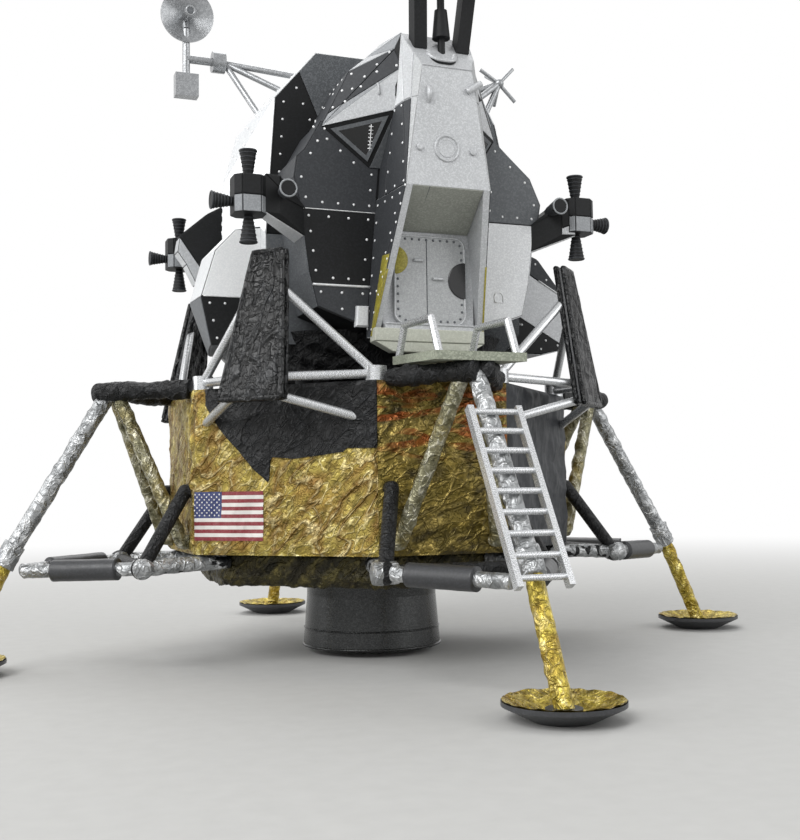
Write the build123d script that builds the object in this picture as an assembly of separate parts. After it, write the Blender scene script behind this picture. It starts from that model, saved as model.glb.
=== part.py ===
from build123d import *
import os
from itertools import combinations
from math import atan2, cos, radians, sin

os.makedirs("parts", exist_ok=True)

# A small plastic model of a lunar lander, in millimetres.
# The origin is on the ground under its middle, +Z is up, and the hatch and ladder face -Y.
# A leg is drawn along +X as (outward, sideways, up) and then turned to its place.

# Driving sizes of the descent stage
body_half = 28.9          # middle to a leg face
leg_face_half = 9.2       # half the width of a leg face
body_bottom_z = 15.7
deck_z = 38.3
pan_inset = 4.4
pan_chamfer = 1.2
pan_depth = 4.5
blast_well_r = 6.4
blast_well_depth = 3.4

bell_mouth_r = 10.4
bell_throat_r = 9.8
bell_mouth_z = 1.0
bell_straight_z = 8.6
bell_wall = 0.8
bell_pan_gap = 0.5

# Driving sizes of a leg, reaches counted outward from the body's face
pad_reach = 30.4
pad_r = 6.6
pad_flat_r = 3.3
pad_h = 2.1
pad_t = 0.5
pad_hub_r = 2.0
pad_hub_h = 1.3
knee_reach = 23.7
knee_z = 15.8
strut_top_reach = 11.4
strut_top_z = 36.6
strut_d = 2.5
rod_d = 2.4
side_strut_knee_gap = 0.7

outrigger_reach = 11.0
outrigger_foot_s = 7.4
outrigger_size = 2.9
outrigger_top_z = 40.0
outrigger_tip_s = 1.2

brace_d = 2.2
brace_top_reach = 9.4
brace_top_s = 1.3
brace_foot_s = 6.9
brace_foot_z = 17.4
brace_foot_reach = 1.3

truss_reach = 7.3
truss_s = 11.1
truss_z = 14.2
truss_d = 1.9
link_d = 1.9
link_top_s = 7.7
link_top_z = 24.4
arm_end_inset = 4.9
arm_end_s = 8.4
arm_end_z = 14.6

side_strut_d = 2.0
side_sleeve_d = 3.0
side_strut_z = 13.8
side_strut_gap_s = 1.4

# Driving sizes of the ladder and the porch
ladder_half = 3.15
ladder_rail_w = 0.75
ladder_rail_t = 1.1
rung_d = 0.75
rung_count = 9
ladder_seat = 0.05
ladder_start = 0.176
ladder_end = 1.15
rung_end_margin = 0.6

porch_front_y = -41.0
porch_back_y = -25.8
porch_front_half = 6.1
porch_back_half = 5.8
porch_front_z = 40.8
porch_back_z = 41.7
porch_t = 1.1
porch_rail_d = 1.0
porch_rail_h = 4.4
porch_rail_s = 5.2

# Driving sizes of the blast deflectors under the thrusters
deflector_stand = 7.6
deflector_lean = 2.9
deflector_foot_z = 36.0
deflector_top_z = 55.2
deflector_foot_w = 9.0
deflector_top_w = 4.2
deflector_top_shift = 1.1
deflector_t = 1.3
deflector_rod_d = 1.2
corner_post_r = 1.4
corner_post_h = 1.9
high_strut_share = 0.78
flat_strut_share = 0.14
low_strut_share = 0.03
low_strut_inner_s = 11.9
low_strut_outer_s = -13.1
low_strut_drop = 5.0

# Driving sizes of the ascent stage, heights above the deck
mid_front_y = -13.0
mid_side_y = 4.0
mid_back_y = 12.0
mid_bottom_h = 6.2
mid_roof_h = 48.2
mid_roof_half = 12.0
peg_r = 1.3
peg_x = 13.0
peg_y = 9.0
cabin_front_y = -22.5
aft_bay_half = 13.5
aft_bay_back_y = 24.0
aft_bay_low_h = 8.5
aft_bay_high_h = 37.0
tunnel_r = 6.9
tunnel_bore_r = 5.65
tunnel_h = 3.4
tunnel_y = 2.0
ascent_bell_mouth_r = 5.0
ascent_bell_throat_r = 3.7
ascent_bell_wall = 0.6
ascent_bell_mouth_h = 0.5

# Driving sizes of the column, the alcove and the hatch
column_front_y = -31.9
column_lip_y = -32.1
column_peak_y = -31.0
column_low_h = 25.0
column_lip_h = 40.8
column_peak_h = 42.7
column_top_h = 46.3
column_half = 5.9
column_lip_half = 3.45
column_peak_half = 4.2
column_top_half = 4.7
column_back_half = 6.6
crown_front_y = -28.0
hatch_wall_y = -24.5
alcove_top_h = 20.6
fin_t = 0.9
fin_low_y = -24.2
fin_low_half = 8.0
fin_low_h = 6.2
sill_h = 1.7
sill_y = -25.4
hatch_half = 5.2
hatch_low_h = 7.9
hatch_high_h = 20.0
hatch_t = 0.6
hatch_corner_r = 1.4
window_t = 0.3
window_share = 0.78

# Driving sizes of the thruster groups
quad_y = 23.4
rear_quad_x = 25.0
rear_quad_h = 25.5
quad_w = 4.2
quad_chamfer = 0.9
quad_block_h = 4.9
nozzle_mouth_d = 2.2
nozzle_root_d = 1.0
nozzle_length = 3.8
side_nozzle_length = 3.0
side_nozzle_drop = 0.8
nozzle_sink = 0.3
end_nozzle_inset = 4.4
end_nozzle_rise = 0.6
fairing_y = 16.8
fairing_t = 2.8

# Driving sizes of the steerable dish
dish_d = 7.8
dish_x = -28.1
dish_dip = 1.5
dish_t = 0.4
dish_tip_down = 6.0
dish_rise = 6.4
dish_feed_d = 1.3
dish_feed_length = 4.2
dish_feed_ring_d = 1.7
dish_axis_h = 50.1
dish_post_d = 1.1
dish_pin_d = 1.2
dish_knob_x = -23.3
dish_knob_d = 3.1
dish_knob_w = 1.9
dish_box_w = 3.4
dish_box_deep = 1.8
dish_box_h = 3.4
dish_box_drop = 4.1
boom_rod_d = 0.9
boom_feet_y = -4.0
pin_gap = 0.05

# Driving sizes of the star aerial
star_x = 23.4
star_h = 52.4
star_hub_d = 1.6
star_spike_d = 0.6
star_spike_length = 4.0
star_rod_d = 1.0

# Driving sizes of the radar and its fork
fork_foot_half = 3.0
fork_axis_half = 3.9
fork_arm_w = 1.8
fork_arm_t = 2.0
fork_arm_over = 1.0
fork_foot_y = -29.4
fork_foot_sink = 2.6
fork_axis_y = -32.0
fork_rise = 9.7
mast_y = -30.2
mast_d = 1.0
mast_body_d = 2.4
mast_body_low = 2.6
mast_body_high = 6.4
mast_top = 9.0
radar_dish_d = 8.4
radar_dip = 1.5
radar_pin_d = 0.9
radar_hub_d = 2.2
radar_hub_half = 1.2
radar_stand = 1.1

LEGS = (("front", -90), ("right", 0), ("rear", 90), ("left", 180))
CORNERS = (("front_left", -1, -1), ("front_right", 1, -1), ("rear_right", 1, 1), ("rear_left", -1, 1))


def rod(a, b, d, d_end=None):
    """Round rod or cone from point a to point b."""
    start, end = Vector(*a), Vector(*b)
    plane = Plane(origin=start, z_dir=end - start)
    length = (end - start).length
    if d_end is None:
        return Solid.make_cylinder(d / 2, length, plane)
    return Solid.make_cone(d / 2, d_end / 2, length, plane)


def box(low, high):
    """Box between two corners."""
    size = [h - l for l, h in zip(low, high)]
    return Solid.make_box(*size, Plane(origin=low))


def convex(points):
    """Solid with flat faces around a few corner points."""
    corners = [Vector(*p) for p in points]
    planes = []
    for a, b, c in combinations(corners, 3):
        normal = (b - a).cross(c - a)
        if normal.length < 1e-6:
            continue
        normal = normal.normalized()
        heights = [(p - a).dot(normal) for p in corners]
        if max(heights) > 1e-5:
            normal = normal * -1
            heights = [-h for h in heights]
        if max(heights) > 1e-5:
            continue
        on_plane = [p for p, h in zip(corners, heights) if h > -1e-5]
        if not any(normal.dot(n) > 1 - 1e-9 for n, _ in planes):
            planes.append((normal, on_plane))
    faces = []
    for normal, ring in planes:
        centre = sum(ring, Vector(0, 0, 0)) * (1 / len(ring))
        across = (ring[0] - centre).normalized()
        up = normal.cross(across)
        ring = sorted(ring, key=lambda p: atan2((p - centre).dot(up), (p - centre).dot(across)))
        hollow = True
        while hollow:
            hollow = [i for i in range(len(ring))
                      if (ring[i] - ring[i - 1]).cross(ring[(i + 1) % len(ring)] - ring[i]).dot(normal) < -1e-6]
            ring = [p for i, p in enumerate(ring) if i not in hollow[:1]]
        faces.append(Face(Wire.make_polygon(ring, close=True)))
    return Solid(Shell(faces))


def prism_y(outline, y0, y1):
    """Outline in X and Z carried from y0 to y1."""
    face = Face(Wire.make_polygon([Vector(x, y0, z) for x, z in outline], close=True))
    return Solid.extrude(face, Vector(0, y1 - y0, 0))


def octagon(half, face_half):
    """Corners of an octagon whose leg faces are 2 * face_half wide."""
    quarter = [(half, -face_half), (half, face_half)]
    corners = []
    for turn in range(4):
        angle = radians(90 * turn)
        corners += [(x * cos(angle) - y * sin(angle), x * sin(angle) + y * cos(angle)) for x, y in quarter]
    return corners


def spin(profile):
    """Body of revolution about Z from (radius, height) corners."""
    face = Face(Wire.make_polygon([Vector(r, 0, z) for r, z in profile], close=True))
    return Solid.revolve(face, 360, Axis.Z)


def fuse(first, *others):
    """One solid from several that meet."""
    joined = first.fuse(*others)
    found = joined.solids()
    return found[0] if len(found) == 1 else Compound(children=found)


def cut(shape, *tools):
    """What is left of a solid, its largest piece if it falls apart."""
    left = shape.cut(*tools)
    return max(left.solids(), key=lambda s: s.volume)


def place(solid, angle):
    return solid.rotate(Axis.Z, angle)


def save(name, *solids):
    shape = solids[0] if len(solids) == 1 else Compound(children=list(solids))
    export_step(shape, "parts/" + name + ".step")


def sided(points):
    """The points and their mirror images across the middle."""
    return list(points) + [(-x, y, z) for x, y, z in points]


# Descent stage body
deck_outline = octagon(body_half, leg_face_half)
deck_face = Face(Wire.make_polygon([Vector(x, y, body_bottom_z) for x, y in deck_outline], close=True))
descent_body = Solid.extrude(deck_face, Vector(0, 0, deck_z - body_bottom_z))
blast_well = Solid.make_cylinder(blast_well_r, blast_well_depth, Plane(origin=(0, 0, deck_z - blast_well_depth)))
descent_body = cut(descent_body, blast_well)
save("descent_body", descent_body)

# Pan under the body
pan_half = body_half - pan_inset
pan_face_half = leg_face_half - pan_inset * 0.4142
pan_low_half = pan_half - pan_chamfer
pan_low_face_half = pan_face_half - pan_chamfer * 0.4142
pan_bottom_z = body_bottom_z - pan_depth
pan_corners = [(x, y, body_bottom_z) for x, y in octagon(pan_half, pan_face_half)]
pan_corners += [(x, y, pan_bottom_z + pan_chamfer * 0.6) for x, y in octagon(pan_half, pan_face_half)]
pan_corners += [(x, y, pan_bottom_z) for x, y in octagon(pan_low_half, pan_low_face_half)]
pan_hole = Solid.make_cylinder(bell_throat_r + bell_pan_gap, 2 * pan_depth,
                               Plane(origin=(0, 0, pan_bottom_z - pan_depth / 2)))
base_pan = cut(convex(pan_corners), pan_hole)
save("base_pan", base_pan)

# Descent engine bell, hollow, hung from the underside of the body
bell_inner = bell_throat_r - bell_wall
save("descent_engine_bell", spin([
    (0, body_bottom_z), (bell_throat_r, body_bottom_z), (bell_throat_r, bell_straight_z),
    (bell_mouth_r, bell_mouth_z), (bell_mouth_r - bell_wall, bell_mouth_z), (bell_inner, bell_straight_z),
    (bell_inner, body_bottom_z - 2 * bell_wall), (0, body_bottom_z - bell_wall),
]))

# Legs, drawn along +X
pad_circle_r = body_half + pad_reach
knee_r = body_half + knee_reach
strut_top_r = body_half + strut_top_reach
outrigger_end_r = body_half + outrigger_reach
brace_top_r = body_half + brace_top_reach
brace_foot_r = body_half + brace_foot_reach
truss_r = body_half + truss_reach
foot = (pad_circle_r, 0, pad_hub_h)
knee = (knee_r, 0, knee_z)
strut_top = (strut_top_r, 0, strut_top_z)
pad = spin([(0, 0), (pad_flat_r, 0), (pad_r, pad_h - pad_t), (pad_r, pad_h), (pad_flat_r, pad_t),
            (pad_hub_r, pad_t), (pad_hub_r, pad_hub_h), (0, pad_hub_h)])
pad = pad.translate(Vector(pad_circle_r, 0, 0))

outrigger_mid_z = outrigger_top_z - outrigger_size / 2


def beam(a, b, size):
    """Level eight-sided beam from a to b, flat on top."""
    start, end = Vector(*a), Vector(*b)
    along = (end - start).normalized()
    side = along.cross(Vector(0, 0, 1)).normalized()
    up = side.cross(along)
    half, corner = size / 2, size / 2 * 0.4142
    ring = [(half, corner), (corner, half), (-corner, half), (-half, corner),
            (-half, -corner), (-corner, -half), (corner, -half), (half, -corner)]
    face = Face(Wire.make_polygon([start + side * s + up * u for s, u in ring], close=True))
    return Solid.extrude(face, end - start)


inside_body = box((-body_half, -body_half, 0), (body_half, body_half, 2 * deck_z))
outrigger = fuse(*[
    beam((body_half - outrigger_size, side * outrigger_foot_s * 1.15, outrigger_mid_z),
         (outrigger_end_r, side * outrigger_tip_s, outrigger_mid_z), outrigger_size)
    for side in (-1, 1)
])
outrigger = cut(outrigger, inside_body)

strut_axis = Vector(*knee) - Vector(*strut_top)
strut = fuse(rod(strut_top, knee, strut_d), rod(
    tuple(Vector(*strut_top) - strut_axis.normalized() * outrigger_size), strut_top, strut_d))
strut = cut(strut, outrigger)
shin_dir = (Vector(*knee) - Vector(*foot)).normalized()
shin = rod(tuple(Vector(*foot) - shin_dir * rod_d), tuple(Vector(*knee) + shin_dir * rod_d), rod_d)
shin = cut(shin, rod(knee, tuple(Vector(*knee) - strut_axis.normalized() * 3 * rod_d), 4 * rod_d),
           box((0, -pad_r, -pad_r), (2 * pad_circle_r, pad_r, pad_hub_h)))

brace_rods = []
for side in (-1, 1):
    top = (brace_top_r, side * brace_top_s, outrigger_mid_z)
    low = (brace_foot_r, side * brace_foot_s, brace_foot_z)
    stub = rod((body_half, side * brace_foot_s, brace_foot_z), low, brace_d)
    ball = Solid.make_sphere(brace_d / 2, Plane(origin=low))
    brace_rods.append(cut(fuse(rod(low, top, brace_d), stub, ball), outrigger, strut))

truss_end = (truss_r, truss_s, truss_z)
truss = rod((truss_r, -truss_s, truss_z), truss_end, truss_d)
truss_parts = []
for side in (-1, 1):
    end = (truss_r, side * truss_s, truss_z)
    link_top = (body_half + link_d / 2, side * link_top_s, link_top_z)
    truss_parts.append(rod(end, link_top, link_d))
    truss_parts.append(rod((body_half, side * link_top_s, link_top_z), link_top, link_d))
    truss_parts.append(Solid.make_sphere(link_d / 2, Plane(origin=link_top)))
    truss_parts.append(Solid.make_sphere(side_sleeve_d / 2, Plane(origin=end)))
    truss_parts.append(rod(end, (body_half - arm_end_inset, side * arm_end_s, arm_end_z), truss_d))
truss = cut(fuse(truss, *truss_parts), descent_body, base_pan)

side_struts = []
for side in (-1, 1):
    inner = Vector(truss_r, side * truss_s, truss_z)
    outer = Vector(knee_r - strut_d / 2 - side_strut_knee_gap, side * side_strut_gap_s, side_strut_z)
    along = outer - inner
    thin = rod(tuple(inner), tuple(outer), side_strut_d)
    sleeve = rod(tuple(inner + along * 0.15), tuple(inner + along * 0.76), side_sleeve_d)
    side_struts.append(cut(fuse(thin, sleeve), truss, strut, shin))

for name, angle in LEGS:
    save("footpad_" + name, place(pad, angle))
    save("strut_rod_" + name, place(shin, angle))
    save("strut_cylinder_" + name, place(strut, angle))
    save("outrigger_" + name, place(outrigger, angle))
    save("brace_frame_" + name, *[place(s, angle) for s in brace_rods])
    save("deployment_truss_" + name, place(truss, angle))
    save("secondary_struts_" + name, *[place(s, angle) for s in side_struts])

# Ladder on the front leg
ladder_standoff = strut_d / 2 + rung_d / 2 - ladder_seat
strut_unit = strut_axis.normalized()
ladder_out = Vector(0, 1, 0).cross(strut_unit) * -1
if ladder_out.X < 0:
    ladder_out = ladder_out * -1


def ladder_point(share, s):
    return Vector(*strut_top) + strut_axis * share + ladder_out * ladder_standoff + Vector(0, s, 0)


ladder_parts = []
for side in (-1, 1):
    plane = Plane(origin=ladder_point(ladder_start, side * ladder_half), x_dir=(0, 1, 0), z_dir=strut_unit)
    rail_face = plane * Rectangle(ladder_rail_w, ladder_rail_t)
    ladder_parts.append(Solid.extrude(rail_face.face(), strut_axis * (ladder_end - ladder_start)))
rung_margin = rung_end_margin / strut_axis.length
for number in range(rung_count):
    share = ladder_start + rung_margin
    share += (ladder_end - ladder_start - 3 * rung_margin) * number / (rung_count - 1)
    ladder_parts.append(rod(tuple(ladder_point(share, -ladder_half)), tuple(ladder_point(share, ladder_half)), rung_d))
ladder = cut(fuse(*ladder_parts), strut)
save("ladder", place(ladder, -90))

# Porch in front of the hatch, and its two rails
porch_corners = sided([
    (porch_front_half, porch_front_y, porch_front_z), (porch_front_half, porch_front_y, porch_front_z - porch_t),
    (porch_back_half, porch_back_y, porch_back_z), (porch_back_half, porch_back_y, porch_back_z - porch_t),
])
porch = cut(convex(porch_corners), place(outrigger, -90))
save("porch", porch)
rail_front_y = porch_front_y + 0.8
rail_back_y = porch_back_y - 0.6
rails = []
for side in (-1, 1):
    x = side * porch_rail_s
    route = [(x, rail_front_y, porch_front_z - porch_t / 2), (x, rail_front_y + 2.5, porch_front_z + porch_rail_h),
             (x, rail_back_y - 2.3, porch_back_z + porch_rail_h - 0.6), (x, rail_back_y, porch_back_z - porch_t / 2)]
    pieces = [rod(a, b, porch_rail_d) for a, b in zip(route, route[1:])]
    pieces += [Solid.make_sphere(porch_rail_d / 2, Plane(origin=p)) for p in route[1:-1]]
    rails.append(cut(fuse(*pieces), porch))
save("porch_rails", *rails)

# Blast deflectors and their struts at the four corners, the struts joined at posts on the deck
root_half = 0.70711
corner_face_r = (body_half + leg_face_half) * root_half
deflector_foot_r = corner_face_r + deflector_stand
deflector_top_r = deflector_foot_r - deflector_lean
up = Vector(0, 0, 1)
deflector_struts = []
for name, sx, sy in CORNERS:
    out = Vector(sx * root_half, sy * root_half, 0)
    inner = Vector(-sx * root_half, sy * root_half, 0)

    def plate_point(share, s):
        r = deflector_foot_r + (deflector_top_r - deflector_foot_r) * share
        z = deflector_foot_z + (deflector_top_z - deflector_foot_z) * share
        return out * r + inner * s + up * z

    corners = []
    for share, w, shift in ((0, deflector_foot_w, 0), (1, deflector_top_w, deflector_top_shift)):
        for dr in (-deflector_t / 2, deflector_t / 2):
            for ds in (-w / 2, w / 2):
                corners.append(tuple(plate_point(share, shift + ds) + out * dr))
    plate = convex(corners)
    save("plume_deflector_" + name, plate)

    for side, high_s, low_s in ((1, 2.4, low_strut_inner_s), (-1, -0.6, low_strut_outer_s)):
        corner = Vector(sx * body_half, sy * leg_face_half, 0)
        if inner.dot(corner) * side < 0:
            corner = Vector(sx * leg_face_half, sy * body_half, 0)
        post_foot = corner * (1 - corner_post_r / body_half) + up * deck_z
        post = Solid.make_cylinder(corner_post_r, corner_post_h, Plane(origin=post_foot))
        level = tuple(post_foot + up * (corner_post_h / 2))
        high = rod(tuple(plate_point(high_strut_share, high_s)), level, deflector_rod_d)
        flat = rod(tuple(plate_point(flat_strut_share, side * 1.6)), level, deflector_rod_d)
        deflector_struts.append(cut(fuse(post, high, flat), plate, descent_body))
        low_foot = out * (corner_face_r - 1) + inner * low_s + up * (deck_z - low_strut_drop)
        low = rod(tuple(plate_point(low_strut_share, side * 2.6)), tuple(low_foot), deflector_rod_d)
        deflector_struts.append(cut(low, plate, descent_body))
save("deflector_struts", *deflector_struts)

# Ascent stage: middle section, and the pegs it stands on
mid_bottom_z = deck_z + mid_bottom_h
mid_front = ((mid_roof_half, mid_roof_h), (18.1, mid_roof_h - 7.1), (19.5, 21.7), (19.5, 9.0), (17.0, mid_bottom_h))
mid_front_right = ((mid_roof_half, mid_roof_h), (15.9, mid_roof_h - 7.5), (19.5, 21.7), (19.5, 9.0), (17.0, mid_bottom_h))
mid_side = ((mid_roof_half, mid_roof_h), (18.3, mid_roof_h - 6.3), (21.5, 37.6), (23.4, 30.6), (23.6, 23.0), (22.5, 13.0),
            (19.0, mid_bottom_h))
mid_side_rear = ((mid_roof_half, mid_roof_h), (16.1, mid_roof_h - 4.2), (19.6, 39.8), (21.6, 32.5), (21.8, 24.0),
                 (21.2, 13.0), (19.0, mid_bottom_h))
mid_rear = ((mid_roof_half - 1, mid_roof_h), (15.5, mid_roof_h - 8.5), (17.9, 30.7), (18.3, 23.3), (18.3, 9.0),
            (16.0, mid_bottom_h))
mid_points = [(-x, mid_front_y, deck_z + h) for x, h in mid_front]
mid_points += [(x, mid_front_y, deck_z + h) for x, h in mid_front_right]
mid_points += sided([(x, y, deck_z + h) for y, outline in
                     ((-mid_side_y, mid_side), (mid_side_y, mid_side_rear), (mid_back_y, mid_rear))
                     for x, h in outline])
mid_section = convex(mid_points)
save("mid_section", mid_section)
pegs = [Solid.make_cylinder(peg_r, mid_bottom_h, Plane(origin=(x, y, deck_z)))
        for x in (-peg_x, peg_x) for y in (-peg_y, peg_y)]
save("stage_pegs", *pegs)

tunnel_z = deck_z + mid_roof_h
tunnel = spin([(tunnel_bore_r, 0), (tunnel_r, 0), (tunnel_r, tunnel_h), (tunnel_bore_r, tunnel_h)])
save("docking_tunnel", tunnel.translate(Vector(0, tunnel_y, tunnel_z)))

ascent_bell_z = deck_z + ascent_bell_mouth_h
ascent_bell = spin([
    (0, mid_bottom_z), (ascent_bell_throat_r, mid_bottom_z), (ascent_bell_mouth_r, ascent_bell_z),
    (ascent_bell_mouth_r - ascent_bell_wall, ascent_bell_z),
    (ascent_bell_throat_r - ascent_bell_wall, mid_bottom_z - ascent_bell_wall), (0, mid_bottom_z - ascent_bell_wall),
])
save("ascent_engine_bell", ascent_bell)

# Crew cabin: faceted front, brow over the windows, crown above the brow
cabin_left = ((14.4, 35.1), (16.6, 31.2), (17.7, 30.1), (18.1, 27.3), (17.5, 24.5), (17.2, 22.6),
              (16.8, 19.5), (16.2, 14.8), (15.1, 10.2), (8.2, 7.7))
cabin_right = ((11.1, 34.9), (13.4, 32.8), (16.7, 29.9), (18.3, 26.3), (17.9, 24.0), (17.2, 22.6),
               (16.8, 19.5), (16.2, 14.8), (15.1, 10.2), (8.2, 7.7))
cabin_ring = [(x, deck_z + h) for x, h in cabin_right] + [(-x, deck_z + h) for x, h in reversed(cabin_left)]
cabin_face = prism_y(cabin_ring, cabin_front_y, mid_front_y)
window_inner = (5.3, -27.0, 36.3)
window_low = (7.6, cabin_front_y, 29.4)
window_outer = {"left": (14.2, cabin_front_y, 34.5), "right": (11.1, cabin_front_y, 34.9)}
brow_inner = (column_top_half, crown_front_y, 41.7)
brow_top = (5.5, -27.3, 44.3)
brow_sides = (
    (-1, [window_outer["left"], (12.7, -21.8, 37.1), (8.7, -24.9, 39.9), (10.6, -23.4, 42.0)]),
    (1, [window_outer["right"], (10.4, -23.0, 36.9), (8.0, -25.3, 39.5), (8.3, -23.6, 41.8)]),
)
brow_back = [(x, mid_front_y, h) for x, h in ((14.2, 34.5), (7.6, 29.4), (12.7, 37.1), (9.6, 43.0), (6.8, 45.6))]
brow_back += [(9.6, -20.0, 43.0), (6.8, -20.0, 45.6)]
brow_points = sided([(x, y, deck_z + h) for x, y, h in [window_inner, window_low, brow_inner, brow_top] + brow_back])
brow_points += [(side * x, y, deck_z + h) for side, ring in brow_sides for x, y, h in ring]
crown_points = [
    (column_top_half, crown_front_y, deck_z + column_top_h), (column_top_half, crown_front_y, deck_z + 38.0),
    (5.5, -27.3, deck_z + 44.3), (5.5, -27.3, deck_z + 38.0), (6.8, -20.0, deck_z + 45.6),
    (column_top_half, -20.0, deck_z + 47.7), (1.7, -20.0, deck_z + 49.8),
]
crown_points += [(x, mid_front_y, deck_z + h) for x, h in ((6.8, 45.6), (column_top_half, 47.7), (1.7, 49.8), (6.8, 38.0))]
cabin = fuse(cabin_face, convex(brow_points), convex(sided(crown_points)))

# Column in front of the cabin, with the alcove that holds the hatch
column = convex(sided([
    (column_half, column_front_y, deck_z + column_low_h), (column_lip_half, column_lip_y, deck_z + column_lip_h),
    (column_peak_half, column_peak_y, deck_z + column_peak_h),
    (column_top_half, crown_front_y, deck_z + column_top_h),
    (column_back_half, cabin_front_y, deck_z + alcove_top_h), (column_top_half, cabin_front_y, deck_z + column_top_h),
    (column_back_half, hatch_wall_y, deck_z + alcove_top_h),
]))
fins = []
for side in (-1, 1):
    corners = []
    for inset in (0, fin_t):
        corners += [
            (side * (column_half - inset), column_front_y, deck_z + column_low_h),
            (side * (fin_low_half - inset), fin_low_y, deck_z + fin_low_h),
            (side * (fin_low_half + 0.2 - inset), cabin_front_y, deck_z + fin_low_h),
            (side * (column_back_half - inset), cabin_front_y, deck_z + column_low_h),
        ]
    fins.append(convex(corners))
hatch_wall = box((-column_back_half, hatch_wall_y, deck_z + fin_low_h),
                 (column_back_half, cabin_front_y, deck_z + alcove_top_h + 1))
sill = box((-column_back_half, sill_y, deck_z + fin_low_h), (column_back_half, cabin_front_y, deck_z + fin_low_h + sill_h))
front_column = cut(fuse(column, *fins, hatch_wall, sill), cabin)
save("crew_cabin", cabin)
save("front_column", front_column)

hatch_middle = (0, hatch_wall_y, deck_z + (hatch_low_h + hatch_high_h) / 2)
hatch_plane = Plane(origin=hatch_middle, x_dir=(1, 0, 0), z_dir=(0, -1, 0))
hatch_face = hatch_plane * RectangleRounded(2 * hatch_half, hatch_high_h - hatch_low_h, hatch_corner_r)
save("front_hatch", cut(Solid.extrude(hatch_face.face(), Vector(0, -hatch_t, 0)), front_column))

# Windows lie on the canted facets beside the column
for name, side in (("left", -1), ("right", 1)):
    a, b, c = [Vector(side * x, y, deck_z + h) for x, y, h in (window_outer[name], window_inner, window_low)]
    middle = (a + b + c) * (1 / 3)
    normal = (b - a).cross(c - a).normalized()
    if normal.Y > 0:
        normal = normal * -1
    ring = [middle + (p - middle) * window_share for p in (a, b, c)]
    pane = Solid.extrude(Face(Wire.make_polygon(ring, close=True)), normal * window_t)
    save("window_" + name, cut(pane, cabin, front_column))

# Tank bays bulge out of the sides of the middle section
bay_root = 18.0
left_bay_rings = (
    (-12.0, ((bay_root, 23.2), (23.6, 22.1), (26.4, 19.1), (28.4, 12.6), (27.0, 6.0), (bay_root, 6.0))),
    (-2.0, ((bay_root, 23.2), (23.2, 22.8), (26.2, 19.6), (28.0, 13.2), (25.2, 6.6), (bay_root, 6.2))),
    (9.0, ((bay_root, 22.5), (22.0, 21.5), (23.8, 18.5), (24.8, 12.6), (23.0, 7.0), (bay_root, 7.0))),
)
right_bay_rings = (
    (-10.5, ((bay_root, 23.5), (24.2, 21.0), (28.3, 15.9), (28.1, 7.2), (24.5, 6.4), (bay_root, 6.4))),
    (10.5, ((bay_root, 23.5), (24.2, 21.0), (28.3, 15.9), (28.1, 7.2), (24.5, 6.4), (bay_root, 6.4))),
)
for name, side, rings in (("left", -1, left_bay_rings), ("right", 1, right_bay_rings)):
    bay = convex([(side * x, y, deck_z + h) for y, ring in rings for x, h in ring])
    save("tank_bay_" + name, cut(bay, mid_section))

# Aft equipment bay
aft_bay = box((-aft_bay_half, mid_back_y, deck_z + aft_bay_low_h),
              (aft_bay_half, aft_bay_back_y, deck_z + aft_bay_high_h))
save("aft_bay", aft_bay)

# Thruster groups: an eight-sided block with four cones, on an arm from the cabin or a fairing by the aft bay
fairing_outline = ((18.8, 32.7), (21.6, 31.1), (26.0, 27.3), (26.4, 24.7), (25.0, 22.7), (23.4, 19.6), (12.0, 18.6), (12.0, 32.7))
front_arm_outer = ((22.6, -25.0), (22.6, -21.8), (20.6, -24.6), (20.6, -21.4))
front_arm_root = ((16.0, -22.2), (16.0, -17.5))
quad_places = ((24.5, 23.9), (23.6, 24.6), (rear_quad_x, rear_quad_h), (rear_quad_x, rear_quad_h))
for (name, sx, sy), (hub_x, hub_h) in zip(CORNERS, quad_places):
    hub = Vector(sx * hub_x, sy * quad_y, deck_z + hub_h)
    half, low, high = quad_w / 2, hub.Z - quad_block_h / 2, hub.Z + quad_block_h / 2
    plan = [(half, half - quad_chamfer), (half - quad_chamfer, half)]
    plan += [(-x, y) for x, y in plan]
    plan += [(x, -y) for x, y in plan]
    pieces = [convex([(hub.X + x, hub.Y + y, z) for x, y in plan for z in (low, high)])]
    end_hub = hub + Vector(-sx * end_nozzle_inset, 0, end_nozzle_rise)
    side_hub = hub - up * side_nozzle_drop
    for start, axis, stand, length in (
        (hub, up, quad_block_h / 2, nozzle_length), (hub, up * -1, quad_block_h / 2, nozzle_length),
        (side_hub, Vector(sx, 0, 0), half, side_nozzle_length), (end_hub, Vector(0, sy, 0), 0, nozzle_length),
    ):
        root = start + axis * (stand - nozzle_sink)
        pieces.append(rod(tuple(root), tuple(root + axis * length), nozzle_root_d, nozzle_mouth_d))
    if sy < 0:
        arm = [(sx * x, y, deck_z + h) for x, y in front_arm_outer for h in (21.7, 26.6)]
        arm += [(sx * x, y, deck_z + h) for x, y in front_arm_root for h in (19.2, 22.6)]
        pieces.append(convex(arm))
    else:
        pieces.append(prism_y([(sx * x, deck_z + h) for x, h in fairing_outline], fairing_y, fairing_y + fairing_t))
        pieces.append(convex([(sx * x, y, deck_z + h) for x, y in ((25.4, 18.4), (19.0, 18.4), (25.0, 22.4), (19.0, 23.4))
                              for h in (23.6, 27.4)]))
    quad = cut(fuse(*pieces), cabin, mid_section, aft_bay)
    save("thruster_quad_" + name, quad)

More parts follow.
